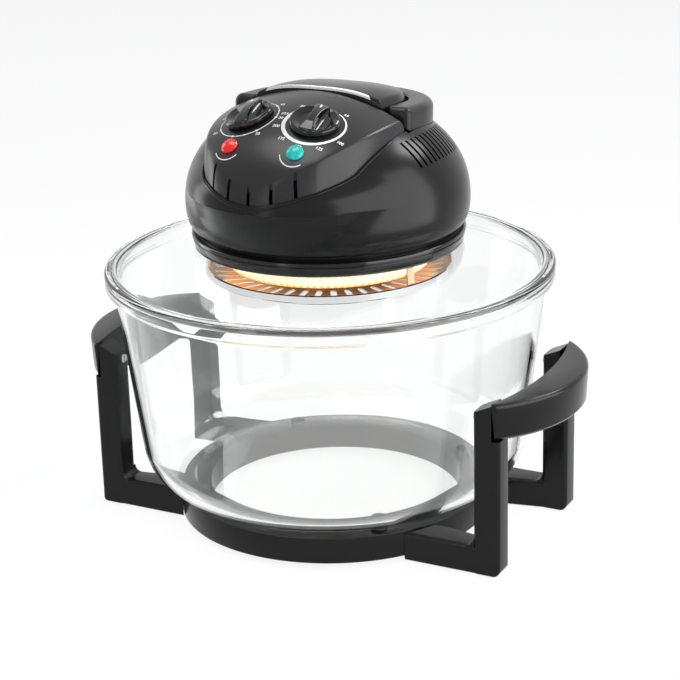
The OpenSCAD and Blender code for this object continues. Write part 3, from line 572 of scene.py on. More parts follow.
class OvenStand(bpy.types.PropertyGroup):
    """Sizes of the stand's legs."""

    post_x: length("Post reach", "Outer face of a post from the middle", 166.0)
    post_w: length("Post width", "Width of a post", 20.0)
    post_d: length("Post depth", "Depth of a post", 18.0)
    leg_y: length("Leg reach", "Outer side of a leg from the middle", 72.0)
    arm_d: length("Arm depth", "Depth of an arm", 24.0)
    arm_h: length("Arm height", "Height of an arm's top", 22.0)
    taper: length("Arm taper", "Where an arm starts to narrow to its post", 118.0)
    tall: length("Post room", "Height that covers a post", 140.0)
    edge: length("Edge", "Radius of the posts' upright edges", 3.2)


class OvenGlass(bpy.types.PropertyGroup):
    """Sizes of the glass bowl and lid."""

    rim_r: length("Rim radius", "Outer radius of the rim", 165.0)
    rim_out: length("Rim overhang", "How far the rim stands out", 5.0)
    rim_h: length("Rim height", "Height of the rolled rim", 12.0)
    bowl_h: length("Bowl height", "Height of the bowl", 168.0)
    bowl_z: length("Bowl base", "Height of the bowl's base", 27.0)
    bowl_wall: length("Bowl wall", "Thickness of the bowl", 5.0)
    corner: length("Corner", "Radius of the bowl's bottom corner", 38.0)
    ledge_w: length("Ledge", "Width of the ledge under the lid", 5.5)
    play: length("Play", "Gap round the lid", 0.3)
    lid_wall: length("Lid wall", "Thickness of the lid", 4.0)
    lid_hole: length("Lid hole", "Radius of the hole for the heater", 92.5)
    draft: FloatProperty(
        name="Draft", description="Lean of the bowl's wall", default=math.radians(6.7), subtype="ANGLE"
    )


def tint(name, description, colour):
    """A colour that the sidebar shows."""
    return FloatVectorProperty(name=name, description=description, subtype="COLOR", default=colour)


class OvenLook(bpy.types.PropertyGroup):
    """Colours of the oven's finishes."""

    shell: tint("Shell", "Colour of the head's shell", (0.005, 0.005, 0.0055))
    panel: tint("Panel", "Colour of the control panel", (0.014, 0.014, 0.015))
    collar: tint("Collar", "Colour of the collar", (0.003, 0.003, 0.0035))
    handle: tint("Handle", "Colour of the carry handle", (0.008, 0.008, 0.009))
    stand: tint("Stand", "Colour of the stand", (0.0045, 0.0045, 0.005))
    knob: tint("Dials", "Colour of the dials", (0.0025, 0.0025, 0.003))
    print: tint("Print", "Colour of the printed scales", (0.72, 0.72, 0.72))
    red: tint("Red lens", "Colour of the left lens", (0.72, 0.012, 0.01))
    teal: tint("Teal lens", "Colour of the right lens", (0.005, 0.42, 0.38))
    glass: tint("Glass", "Tint of the glass", (0.985, 0.995, 0.99))
    floor: tint("Floor", "Colour of the floor", (0.88, 0.88, 0.88))
    segments: IntProperty(
        name="Segments", description="Steps round the turned pieces", default=192, min=32, max=512
    )


# Forms of the head

PANEL_Y = -48 * MM
PANEL_EDGE = 0.06
CROWN_Y = 20 * MM
CROWN_EDGE = 0.1
CROWN_ROUND = 7 * MM
BOSS_R = 4.4 * MM
SCREW_R = 1.6 * MM
SLIDE_FIT = 0.06 * MM


def head():
    """The head's sizes."""
    return bpy.context.scene.oven_head


def bow(u, form):
    """Quarter of a superellipse: 1 in the middle, 0 at the end."""
    return max(0.0, 1 - min(1.0, abs(u)) ** form) ** (1 / form)


def superellipse(form, steps):
    """Pairs that run from (1, 0) to (0, 1) round a superellipse's quarter."""
    turns = [math.pi / 2 * i / steps for i in range(steps + 1)]
    return [(max(0.0, math.cos(a)) ** (2 / form), math.sin(a) ** (2 / form)) for a in turns]


def dome_radius(z, inset=0.0):
    """Radius of the dome at a height, or of its inner face."""
    s = head()
    if z >= s.dome_mid:
        return (s.dome_r - inset) * bow((z - s.dome_mid) / (s.dome_rise - inset), s.form)
    fall = min(1.0, (s.dome_mid - z) / (s.dome_mid - s.shell_z))
    return s.shell_foot - inset + (s.dome_r - s.shell_foot) * math.sqrt(1 - fall * fall)


def dome_height(r):
    """Height of the dome at a radius."""
    s = head()
    return s.dome_mid + s.dome_rise * bow(r / s.dome_r, s.form)


def chin_radius(z):
    """Radius of the chin about its own middle."""
    s = head()
    top = s.nose_z + MM
    low = s.shell_z + 1.5 * MM
    wide = s.nose_reach + s.lip - s.chin_y
    narrow = s.neck_r - s.chin_y + 2 * MM
    swell, steep = 0.75, 3
    if z <= top:
        return narrow + (wide - narrow) * (max(0.0, z - low) / (top - low)) ** swell
    rise = (z - top) / s.shoulder_h
    shoulder = s.shoulder_w * (1 - math.sqrt(max(0.0, 1 - rise * rise)))
    return wide - shoulder - steep * s.shoulder_h * max(0.0, rise - 1)


def shell_radius(z, turn, inset=0.0):
    """Radius of the shell at a height, at a turn from the front."""
    s = head()
    dome = dome_radius(z, inset)
    sideways = s.chin_y * math.sin(turn)
    reach = chin_radius(z) - inset
    if reach <= abs(sideways):
        return dome
    chin = s.chin_y * math.cos(turn) + math.sqrt(reach * reach - sideways * sideways)
    least, most, share = 0.2 * MM, 8 * MM, 0.4
    blend = min(most, max(least, share * (z - s.shell_z)))
    near = max(0.0, blend - abs(dome - chin))
    return max(dome, chin) + near * near / (4 * blend)


def panel_z(x, y):
    """Height of the panel's face over a point."""
    s = head()
    return s.nose_z + s.nose_rise * bow(y / s.nose_reach, s.form) - x * x / (2 * s.crown_r)


def panel_frame(x, y):
    """Matrix that stands things on the panel: X sideways, Y uphill and Z along its normal."""
    step = 0.5 * MM
    dx = (panel_z(x + step, y) - panel_z(x - step, y)) / (2 * step)
    dy = (panel_z(x, y + step) - panel_z(x, y - step)) / (2 * step)
    n = Vector((-dx, -dy, 1)).normalized()
    u = Vector((0, 1, 0)).cross(n).normalized()
    m = Matrix((u, n.cross(u), n)).transposed().to_4x4()
    m.translation = (x, y, panel_z(x, y))
    return m


def panel_plan(grow=0.0):
    """The panel's outline seen from above: straight back, curved flanks and a round nose."""
    s = head()
    side = []
    steps, nose_depth, nose_turn = 48, 17 * MM, -51
    for i in range(steps):
        y = s.panel_back - (s.nose_reach + s.panel_back - nose_depth) * i / steps
        side.append((s.panel_half * bow(y / s.nose_reach, s.flank), y))
    side += arc((0, s.nose_arc - s.nose_reach), s.nose_arc, nose_turn, -90, 24)
    back = [(side[0][0] * (k / 12 - 1), s.panel_back) for k in range(1, 24)]
    plan = side + [(-x, y) for x, y in side[-2::-1]] + back
    k = 1 + grow / s.panel_half
    return [(x * k, (y - PANEL_Y) * k + PANEL_Y) for x, y in plan]


def panel_ring(plan, k, h, drop=0.0):
    """One ring of the panel's skin, drawn in towards the middle and up from the shell."""
    s = head()
    ring = []
    for x, y in plan:
        x, y = x * k, (y - PANEL_Y) * k + PANEL_Y
        r = math.hypot(x, y)
        low = s.nose_z if r > dome_radius(s.nose_z) else max(s.nose_z, dome_height(r))
        up = max(panel_z(x, y), low)
        ring.append((x, y, low + (up - low) * h - drop))
    return ring


def skin(plan, ring, edge, middle, wall, form, skirt):
    """A domed cover: an outer and an inner skin, each with a rounded edge, joined at the foot."""
    thick, edge_steps, steps = 0.6, 14, 22
    outer = [ring(plan, 1.0, 0.0, skirt)]
    inner = [ring(plan, 1 - thick * edge, 0.0, skirt)]
    for along, up in superellipse(form, edge_steps):
        outer.append(ring(plan, 1 - edge * (1 - along), up, 0.0))
        inner.append(ring(plan, 1 - thick * edge - edge * (1 - along), up, wall * up))
    for i in range(1, steps):
        k = 1 - i / steps
        outer.append(ring(plan, (1 - edge) * k, 1.0, 0.0))
        inner.append(ring(plan, (1 - (1 + thick) * edge) * k, 1.0, wall))
    outer.append([middle])
    inner.append([(middle[0], middle[1], middle[2] - wall)])
    return loft(inner[::-1] + outer)


def crown_z(x, y):
    """Height of the crown cover's top, which falls to its sides and its rear."""
    s = head()
    side_fall, rear_fall, rear_start, rear_reach = 8.5 * MM, 13 * MM, -6 * MM, 70 * MM
    rear = max(0.0, y - rear_start) / rear_reach
    return s.crown_top - side_fall * abs(x / s.crown_half) ** 3 - rear_fall * rear ** 2


def crown_plan():
    """The crown cover's outline between the handle's arms."""
    s = head()
    mid = s.hoop_y + s.hinge_y
    flank = [(s.crown_half, s.crown_front + (mid - s.crown_front) * i / 16) for i in range(16)]
    front = [(s.crown_half * (i / 12 - 1), s.crown_front) for i in range(1, 24)]
    return flank + arc((0, mid), s.crown_half, 0, 180, 72) + [(-x, y) for x, y in flank[::-1]] + front


def crown_ring(plan, k, h, drop=0.0):
    """One ring of the crown's skin: up its flank for the first half of h, then round its edge."""
    s = head()
    ring = []
    for x, y in plan:
        x, y = x * k, (y - CROWN_Y) * k + CROWN_Y
        low = min(dome_height(math.hypot(x, y)), crown_z(x, y)) + 2 * s.fit
        up = crown_z(x, y) - CROWN_ROUND
        z = low + (up - low) * min(1.0, 2 * h) if h < 0.5 else up + CROWN_ROUND * (2 * h - 1)
        ring.append((x, y, z - drop))
    return ring


def hoop(gap, corner, ends, low_corner=0.0):
    """The handle's U as a solid: a rounded section swept down one arm, round the bend and back."""
    s = head()
    inside, outside = s.hoop_in - gap, s.hoop_in + s.hoop_w + gap
    foot, top = s.hoop_low - gap, s.hoop_low + s.hoop_t + gap
    corners = [(inside, foot), (outside, foot), (outside, top), (inside, top)]
    section = rounded(corners, [low_corner, low_corner, corner, 2 * MM], 8)
    middle = ((inside + outside) / 2, (foot + top) / 2)
    front = -s.ear_front - gap
    arm = []
    for i in range(9 if ends else 1):
        a = math.pi / 2 * i / 8
        arm.append((front + ends * (1 - math.cos(a)), ends * (1 - math.sin(a))))
    arm += [(front + ends + (s.hoop_y - front - ends) * i / 10, 0.0) for i in range(0 if not ends else 1, 10)]

    def ring(y, inset, turn, side=1):
        out = []
        for u, v in section:
            u = middle[0] + (u - middle[0]) * (1 - 2 * inset / s.hoop_w)
            v = middle[1] + (v - middle[1]) * (1 - 2 * inset / s.hoop_t)
            out.append((side * u, y, v) if turn is None else (u * math.cos(turn), y + u * math.sin(turn), v))
        return out

    rings = [ring(y, inset, None) for y, inset in arm]
    rings += [ring(s.hoop_y, 0.0, math.pi * i / 96) for i in range(97)]
    rings += [ring(y, inset, None, -1) for y, inset in arm[::-1]]
    tilt = Matrix.Translation((0, s.hinge_y, s.hinge_z)) @ Matrix.Rotation(s.hoop_tilt, 4, "X")
    return moved(loft(rings), tilt)


def across(radius, inside, outside, y, z):
    """A pair of round bars along X, one on each side."""
    bar = round_bar(radius, inside, outside, 96)
    turns = [Matrix.Translation((0, y, z)) @ Matrix.Rotation(math.radians(a), 4, "Y") for a in (90, -90)]
    return joined([moved(bar, m) for m in turns])


def vent_cuts():
    """Upright slits in the shell's sides."""
    s = head()
    width, tall, deep, pitch = 2.2 * MM, 20 * MM, 40 * MM, 5.7 * MM
    inward, middle, above = 32 * MM, 4.5 * MM, 31 * MM
    cut = box((0, -width / 2, 0), (deep, width / 2, tall))
    tilt = Matrix.Rotation(math.radians(-16), 4, "Y")
    cuts = []
    for side in (1, -1):
        for i in range(s.vents):
            y = middle + (i - (s.vents - 1) / 2) * pitch
            place = Matrix.Translation((s.dome_r - inward, y, s.dome_mid + above))
            cuts.append(moved(cut, Matrix.Diagonal((side, 1, 1, 1)) @ place @ tilt))
    return joined(cuts)


def shell_skin(inset):
    """Closed skin of the shell, or of the room inside it."""
    s = head()
    steps, chin_steps, dome_steps = 288, 40, 64
    turns = [2 * math.pi * i / steps for i in range(steps)]

    def ring(radius, z):
        return [(radius(t) * math.sin(t), -radius(t) * math.cos(t), z) for t in turns]

    def flat(r, z):
        return ring(lambda t: r, z)

    below = s.collar_floor - (2 * s.wall if inset else 0)
    foot = s.shell_z + inset
    neck, wide = s.neck_r - inset, s.shell_foot - inset
    profile = [(neck, below), (neck, foot), (wide, foot), (wide, foot + 3 * MM)]
    rings = [[(0, 0, below)]]
    rings += [flat(r, z) for r, z in rounded(profile, [0, 0.8 * MM, 1.1 * MM, 0], 5, False)[:-1]]
    start, crease = foot + 1.5 * MM, s.nose_z + MM
    heights = [start + (crease - start) * i / chin_steps for i in range(chin_steps + 1)]
    if inset:
        shelf = s.nose_z - s.wall
        heights = [z for z in heights if z < shelf]
        rings += [ring(lambda t, z=z: shell_radius(z, t, inset), z) for z in heights + [shelf]]
        crease = shelf + 0.01 * MM
        rings.append(flat(dome_radius(crease, inset), crease))
    else:
        rings += [ring(lambda t, z=z: shell_radius(z, t), z) for z in heights]
    rise = s.dome_rise - inset
    first = math.asin((crease - s.dome_mid) / rise)
    for i in range(1, dome_steps):
        z = s.dome_mid + rise * math.sin(first + (math.pi / 2 - first) * i / dome_steps)
        rings.append(flat(dome_radius(z, inset), z) if inset else ring(lambda t, z=z: shell_radius(z, t), z))
    return loft(rings + [[(0, 0, s.dome_mid + rise)]])


# Operators


class OVEN_OT_camera_and_stage(bpy.types.Operator):
    """Camera at the photograph's angle, pale floor and studio light"""

    bl_idname = "oven.camera_and_stage"
    bl_label = "Camera and stage"

    def execute(self, context):
        scene = context.scene
        azimuth, rise, roll = math.radians(28.11), math.radians(19.16), math.radians(-1.55)
        distance, focal, picture, sensor = 1.5, 2016.3, 680, 36.0
        level = math.cos(rise)
        back = Vector((math.sin(azimuth) * level, -math.cos(azimuth) * level, math.sin(rise)))
        right = Vector((math.cos(azimuth), math.sin(azimuth), 0))
        up = back.cross(right)
        across_view = right * math.cos(roll) + up * math.sin(roll)
        up_view = up * math.cos(roll) - right * math.sin(roll)
        target = right * 5.86 * MM + Vector((0, 0, 131.2 * MM))
        data = bpy.data.cameras.new("camera")
        data.sensor_width = sensor
        data.lens = focal / picture * sensor
        data.clip_start = 0.05
        camera = bpy.data.objects.new("camera", data)
        place = Matrix((across_view, up_view, back)).transposed().to_4x4()
        place.translation = target + back * distance
        camera.matrix_world = place
        scene.collection.objects.link(camera)
        scene.camera = camera
        self.floor(scene)
        self.world(scene)
        # Each lamp's name, place, width, height and power
        lamps = (
            ("top_box", (-0.3, -0.1, 1.7), 0.75, 0.75, 11.0),
            ("left_strip", (-0.95, 0.02, 0.5), 0.3, 1.0, 3.0),
            ("front_strip", (-0.13, -0.85, 0.47), 0.12, 0.9, 0.8),
            ("right_window", (0.78, -0.05, 0.52), 0.9, 1.02, 12.5),
            ("rear_rim", (0.6, 0.9, 1.3), 0.45, 0.45, 9.0),
        )
        for name, at, wide, tall, power in lamps:
            light = bpy.data.lights.new(name, "AREA")
            light.shape = "RECTANGLE"
            light.size = wide
            light.size_y = tall
            light.energy = power
            o = bpy.data.objects.new(name, light)
            o.location = at
            aim = Vector((0, 0, 0.2 if at[2] > 1 else at[2]))
            o.rotation_euler = (Vector(at) - aim).to_track_quat("Z", "Y").to_euler()
            scene.collection.objects.link(o)
        scene.view_settings.view_transform = "Standard"
        return {"FINISHED"}

    def floor(self, scene):
        """Pale paper that keeps the oven's shadow."""
        half = 60.0
        mesh = bpy.data.meshes.new("floor")
        corners = [(-half, -half, 0), (half, -half, 0), (half, half, 0), (-half, half, 0)]
        mesh.from_pydata(corners, [], [(0, 1, 2, 3)])
        o = bpy.data.objects.new("floor", mesh)
        scene.collection.objects.link(o)
        f = Finish("floor_paper")
        colour = scene.oven_look.floor
        paper = f.principled(
            Base_Color=f.mix(f.noise(40.0), rgba(colour, 0.995), rgba(colour)), Roughness=0.9,
        )
        white = f.node("ShaderNodeEmission", None, {"Color": (1, 1, 1, 1), "Strength": 1.0})
        share = 0.88
        shader = f.node("ShaderNodeMixShader", None, {0: f.seen() * share, 1: paper, 2: white})
        mesh.materials.append(f.surface(shader))

    def world(self, scene):
        """White where it is seen, in glass and in gloss, and soft grey light elsewhere."""
        f = Finish("studio", "worlds", "ShaderNodeOutputWorld")
        soft = f.node("ShaderNodeBackground", None, {"Color": (0.86, 0.88, 0.92, 1), "Strength": 0.42})
        white = f.node("ShaderNodeBackground", None, {"Color": (1, 1, 1, 1), "Strength": 1.0})
        scene.world = f.surface(f.node("ShaderNodeMixShader", None, {0: f.seen(), 1: soft, 2: white}))


class OVEN_OT_stand(bpy.types.Operator):
    """Stand: ring, legs, side grips, screws, feet and rest pads"""

    bl_idname = "oven.stand"
    bl_label = "Stand"

    def execute(self, context):
        for side, x in (("right", 1), ("left", -1)):
            for end, y in (("front", 1), ("rear", -1)):
                node = "leg_" + end + "_" + side
                leg = solid(node + "_moulding", node_shape(node))
                carve(leg, "INTERSECT", self.rounds(Matrix.Diagonal((x, y, 1, 1))))
                piece(leg, "stand", "stand_black", "stand", (node,), 20.0)
        for node in ("grip_right", "grip_left"):
            soften(node, 1.1 * MM)
        soften("stand_ring", 0.9 * MM)
        dress("screw", "leg_screws", "grip_screws")
        dress("rubber", "stand_feet", "bowl_pads")
        return {"FINISHED"}

    def rounds(self, turn):
        """A leg's arm and post as full bars with rounded edges, mirrored to one corner of the stand."""
        b = bpy.context.scene.oven_stand
        lap, fillet = 4 * MM, 5 * MM
        r, front = b.edge, -b.leg_y
        x, back = b.post_x - b.post_w, front + b.post_d
        plan = rounded([(x, front), (b.post_x, front), (b.post_x, back), (x, back)], r, 6)
        bars = solid("bars", prism(plan, 0, b.tall))
        rings = []
        for at, deep in ((0, front + b.arm_d), (b.taper, front + b.arm_d), (x + lap, back)):
            section = rounded([(front, 0), (deep, 0), (deep, b.arm_h), (front, b.arm_h)], 0.8 * r, 6)
            rings.append([(at, y, z) for y, z in section])
        arm = solid("arm", loft(rings))
        carve(bars, "UNION", object_shape(arm))
        carve(bars, "UNION", box((x - fillet, front, b.arm_h - r), (x + MM, back, b.arm_h + fillet)))
        bpy.data.objects.remove(arm)
        shape = moved(object_shape(bars), turn)
        bpy.data.objects.remove(bars)
        return shape


class OVEN_OT_glass(bpy.types.Operator):
    """Glass bowl and glass lid"""

    bl_idname = "oven.glass"
    bl_label = "Glass"

    def execute(self, context):
        g = context.scene.oven_glass
        s = head()
        steps = context.scene.oven_look.segments
        lean = math.tan(g.draft)
        drop = math.degrees(g.draft)
        wall_top = g.rim_r - g.rim_out
        bend_top = g.corner * (1 - math.sin(g.draft))
        centre = wall_top - (g.bowl_h - bend_top) * lean - g.corner * math.cos(g.draft)
        lid_r = wall_top - g.play
        h, t, rim = g.bowl_h, g.bowl_wall, g.rim_h
        rim_corners = [
            (wall_top - (rim + 6 * MM) * lean, h - rim - 6 * MM),
            (wall_top - (rim + 2 * MM) * lean, h - rim - 2 * MM),
            (g.rim_r, h - rim + 0.8 * MM),
            (g.rim_r, h),
            (wall_top, h),
            (wall_top, h - g.lid_wall - MM),
            (lid_r - g.ledge_w, h - g.lid_wall - 1.6 * MM),
            (wall_top - t - rim * lean, h - rim - 4 * MM),
            (wall_top - t - (rim + 8 * MM) * lean, h - rim - 12 * MM),
        ]
        radii = [size * MM for size in (0, 4, 3, 3.2, 1, 0.6, 2.2, 6, 0)]
        profile = arc((centre, g.corner), g.corner, -90, -drop, 28)
        profile += rounded(rim_corners, radii, 6, False)
        profile += arc((centre, g.corner), g.corner - t, -drop, -90, 28)
        rings = [circle(r, z + g.bowl_z, steps) for r, z in profile]
        rings = [[(0, 0, g.bowl_z)]] + rings + [[(0, 0, g.bowl_z + t)]]
        piece(solid("bowl_glass", loft(rings)), "bowl", "clear_glass", "glass", ("glass_bowl",), 60.0)

        foot = g.bowl_z + h - g.lid_wall - 0.8 * MM
        rim_z = g.bowl_z + h
        bend = lid_r - 4 * MM
        span = bend - s.collar_r + 6 * MM
        rise = s.head_z - g.lid_wall - foot - 1.2 * MM

        def line(k, down):
            return (bend - k * span, foot + g.lid_wall + rise * math.sin(math.pi / 2 * k) - down)

        edge = [
            (lid_r - 0.6 * MM, foot),
            (lid_r, foot + 2 * MM),
            (lid_r, rim_z - MM),
            (lid_r - 3 * MM, rim_z),
        ]
        lid = rounded(edge, 1.2 * MM, 4, False) + [line(i / 20, 0) for i in range(21)]
        top = s.head_z - 1.2 * MM
        lid += [(g.lid_hole, top), (g.lid_hole, top - g.lid_wall)]
        lid += [line(i / 20, g.lid_wall) for i in range(20, 0, -1)] + [(bend - MM, foot)]
        piece(solid("lid_glass", lathe(lid, steps)), "head", "clear_glass", "glass", ("glass_lid",), 60.0)
        return {"FINISHED"}


def shell_height(x, y):
    """Height of the shell's upper surface over a point."""
    s = head()
    r, turn = math.hypot(x, y), math.atan2(x, -y)
    low, high = s.nose_z, s.dome_mid + s.dome_rise
    for _ in range(32):
        z = (low + high) / 2
        low, high = (z, high) if shell_radius(z, turn) > r else (low, z)
    return low


def welt(grow, radius):
    """A fine raised edge on the shell round the panel's foot."""
    plan = [(x, y) for x, y in panel_plan(grow) if y < PANEL_Y + 25 * MM]
    start = min(range(len(plan)), key=lambda i: (plan[i][0] < 0, -plan[i][1]))
    plan = plan[start:] + plan[:start]
    line = [Vector((x, y, shell_height(x, y))) for x, y in plan]
    rings = []
    for i, p in enumerate(line):
        along = (line[min(i + 1, len(line) - 1)] - line[max(i - 1, 0)]).normalized()
        out = along.cross(Vector((0, 0, 1))).normalized()
        up = out.cross(along)
        size = radius * min(1.0, (min(i, len(line) - 1 - i) + 1) / 8)
        turns = [2 * math.pi * k / 12 for k in range(12)]
        rings.append([p + out * size * math.cos(a) + up * size * math.sin(a) for a in turns])
    return loft(rings)


class OVEN_OT_shell(bpy.types.Operator):
    """Collar and domed shell with its chin, wells, vents and bosses"""

    bl_idname = "oven.shell"
    bl_label = "Collar and shell"

    def execute(self, context):
        s = head()
        self.collar(s)
        lining = solid("lining", shell_skin(0.0))
        carve(lining, "INTERSECT", hoop(s.fit + s.wall, 8 * MM, 0.0))
        ears = solid("ears", shell_skin(0.0))
        ear_in, ear_out = s.hoop_in - s.fit, s.hoop_in + s.hoop_w + s.fit
        room = across(s.ear_r + s.wall, ear_in - s.wall, ear_out + s.wall, s.hinge_y, s.hinge_z)
        carve(ears, "INTERSECT", room)
        shell = solid("shell_moulding", shell_skin(0.0))
        carve(shell, "DIFFERENCE", shell_skin(s.wall))
        for part in (lining, ears):
            carve(shell, "UNION", object_shape(part))
            bpy.data.objects.remove(part)
        carve(shell, "UNION", self.bosses(BOSS_R, s.collar_floor, 26 * MM))
        carve(shell, "UNION", welt(1.2 * MM, 0.9 * MM))
        carve(shell, "DIFFERENCE", hoop(s.fit, 6 * MM, 0.0))
        sweep = across(s.ear_r, ear_in - 0.2 * MM, ear_out + 0.2 * MM, s.hinge_y, s.hinge_z)
        carve(shell, "DIFFERENCE", sweep)
        carve(shell, "DIFFERENCE", prism(panel_plan(s.fit), s.nose_z, s.crown_top))
        carve(shell, "DIFFERENCE", vent_cuts())
        carve(shell, "DIFFERENCE", self.bosses(SCREW_R, s.head_z + 5 * MM, 14 * MM))
        pin_room = across(2.5 * MM, s.hoop_in - 9 * MM, s.hoop_in, s.hinge_y, s.hinge_z)
        carve(shell, "DIFFERENCE", pin_room)
        rear = Matrix.Translation((0, s.dome_r - 12 * MM, s.head_z + 34 * MM))
        cord_hole = moved(round_bar(6 * MM, 0, 30 * MM), rear @ Matrix.Rotation(math.radians(-90), 4, "X"))
        carve(shell, "DIFFERENCE", cord_hole)
        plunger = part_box("switch_plunger")
        middle = (plunger[0] + plunger[1]) / 2
        bore = round_bar(plunger[1].x - middle.x + SLIDE_FIT, plunger[0].z - 14 * MM, plunger[1].z + 10 * MM)
        carve(shell, "DIFFERENCE", moved(bore, Matrix.Translation((middle.x, middle.y, 0))))
        piece(shell, "head", "shell_charcoal", "shell", ("head_shell",), 26.0)
        dress("rubber", "lid_gasket", "cord_gland")
        return {"FINISHED"}

    def bosses(self, radius, low, tall):
        """Four upright bars round the neck, for the screw bosses and their holes."""
        s = head()
        bar = moved(round_bar(radius, low, low + tall, 32), Matrix.Translation((s.neck_r - 5.3 * MM, 0, 0)))
        return joined([moved(bar, Matrix.Rotation(math.radians(45 + 90 * k), 4, "Z")) for k in range(4)])

    def collar(self, s):
        """Glossy ring with a rolled top, a fine groove and a sloping band below it."""
        r, low, top = s.collar_r, s.head_z, s.collar_top
        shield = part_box("heat_shield")
        grip = shield[1].x - 2 * MM
        outside = ((-1.2, 0), (0.1, 5.2), (-0.8, 5.5), (-0.8, 6.1), (0.6, 6.4))
        corners = [(s.collar_in, low)] + [(r + out * MM, low + up * MM) for out, up in outside]
        corners += [
            (r + 0.5 * MM, top),
            (s.neck_r + s.fit, top),
            (s.neck_r + s.fit, s.collar_floor),
            (s.collar_in, s.collar_floor),
            (grip, shield[1].z),
            (shield[1].x, shield[1].z),
            (shield[1].x, shield[0].z),
            (grip, shield[0].z),
        ]
        radii = [size * MM for size in (0.4, 1.0, 0.5, 0.2, 0.2, 0.6, 1.3, 0.5, 0, 0, 0, 0, 0, 0)]
        collar = solid("collar_moulding", lathe(rounded(corners, radii, 5), 256))
        carve(collar, "DIFFERENCE", self.bosses(SCREW_R, low - MM, 12 * MM))
        piece(collar, "head", "collar_black", "collar", ("collar",), 40.0)


class OVEN_OT_panel_and_crown(bpy.types.Operator):
    """Control panel with its ribbed nose, crown cover and brow strip"""

    bl_idname = "oven.panel_and_crown"
    bl_label = "Panel and crown"

    def execute(self, context):
        s = head()
        middle = (0, PANEL_Y, panel_z(0, PANEL_Y))
        cover = skin(panel_plan(), panel_ring, PANEL_EDGE, middle, s.wall, s.flank, 1.5 * MM)
        panel = solid("panel_moulding", cover)
        hole = round_bar(s.spindle_r + MM, -12 * MM, 18 * MM)
        seat = round_bar(s.lens_r - MM, -12 * MM, 18 * MM)
        for side in (-1, 1):
            carve(panel, "DIFFERENCE", moved(hole, panel_frame(side * s.dial_x, -s.dial_y)))
            carve(panel, "DIFFERENCE", moved(seat, panel_frame(side * s.dial_x, -s.lens_y)))
        carve(panel, "DIFFERENCE", self.rib_slots(s))
        piece(panel, "head", "panel_charcoal", "panel", ("control_panel",), 30.0)

        middle = (0, CROWN_Y, crown_z(0, CROWN_Y))
        cover = skin(crown_plan(), crown_ring, CROWN_EDGE, middle, s.wall, s.flank, 0.0)
        piece(solid("crown_moulding", cover), "head", "shell_charcoal", "shell", ("crown_cover",), 40.0)
        piece(solid("brow_trim", self.strip(s)), "head", "brow_silver", "silver", ("trim_strip",), 40.0)
        return {"FINISHED"}

    def rib_slots(self, s):
        """Narrow upright slots round the nose."""
        width, tall, step = 2.5 * MM, 18 * MM, math.radians(17)
        corners = [(-width / 2, 0), (width / 2, 0), (width / 2, tall), (-width / 2, tall)]
        outline = rounded(corners, 1.1 * MM, 5)
        depths = (-s.nose_arc - 2 * MM, -s.nose_arc + 4 * MM)
        slot = loft([[(x, y, z) for x, z in outline] for y in depths])
        slots = []
        for i in range(-2, 3):
            place = Matrix.Translation((0, s.nose_arc - s.nose_reach, s.nose_z + (2.5 + 2.5 * i * i) * MM))
            slots.append(moved(slot, place @ Matrix.Rotation(i * step, 4, "Z")))
        return joined(slots)

    def strip(self, s):
        """A thin bright strip that lies along the crown's front edge."""
        thick, front, back_end = 0.5 * MM, 0.016, 0.075
        inward = [CROWN_EDGE * (1 - a) for a, _ in superellipse(s.flank, 14)]
        rows = [back for back in inward if front < back < back_end]
        stations = [s.crown_half * 0.83 * (i / 24 - 1) for i in range(49)]
        rings = []
        for x in stations:
            low, high = [], []
            for back in rows:
                k = 1 - back
                h = bow(1 - back / CROWN_EDGE, s.flank)
                px, py = x * k, (s.crown_front - CROWN_Y) * k + CROWN_Y
                pz = crown_z(px, py) - CROWN_ROUND * (1 - h)
                low.append((px, py + 0.1 * MM, pz - 0.1 * MM))
                high.append((px, py - thick * 0.6, pz + thick * 0.8))
            rings.append(low + high[::-1])
        return loft(rings)


class OVEN_OT_handle(bpy.types.Operator):
    """Carry handle with rounded arms"""

    bl_idname = "oven.handle"
    bl_label = "Carry handle"

    def execute(self, context):
        s = head()
        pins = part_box("handle_pins")
        pin_r = (pins[1].z - pins[0].z) / 2
        handle = solid("handle_moulding", hoop(0.0, 6 * MM, 5 * MM, 1.5 * MM))
        bores = across(pin_r + SLIDE_FIT, s.hoop_in - MM, pins[1].x + MM, s.hinge_y, s.hinge_z)
        carve(handle, "DIFFERENCE", bores)
        piece(handle, "handle", "handle_charcoal", "handle", ("carry_handle",), 40.0)
        return {"FINISHED"}


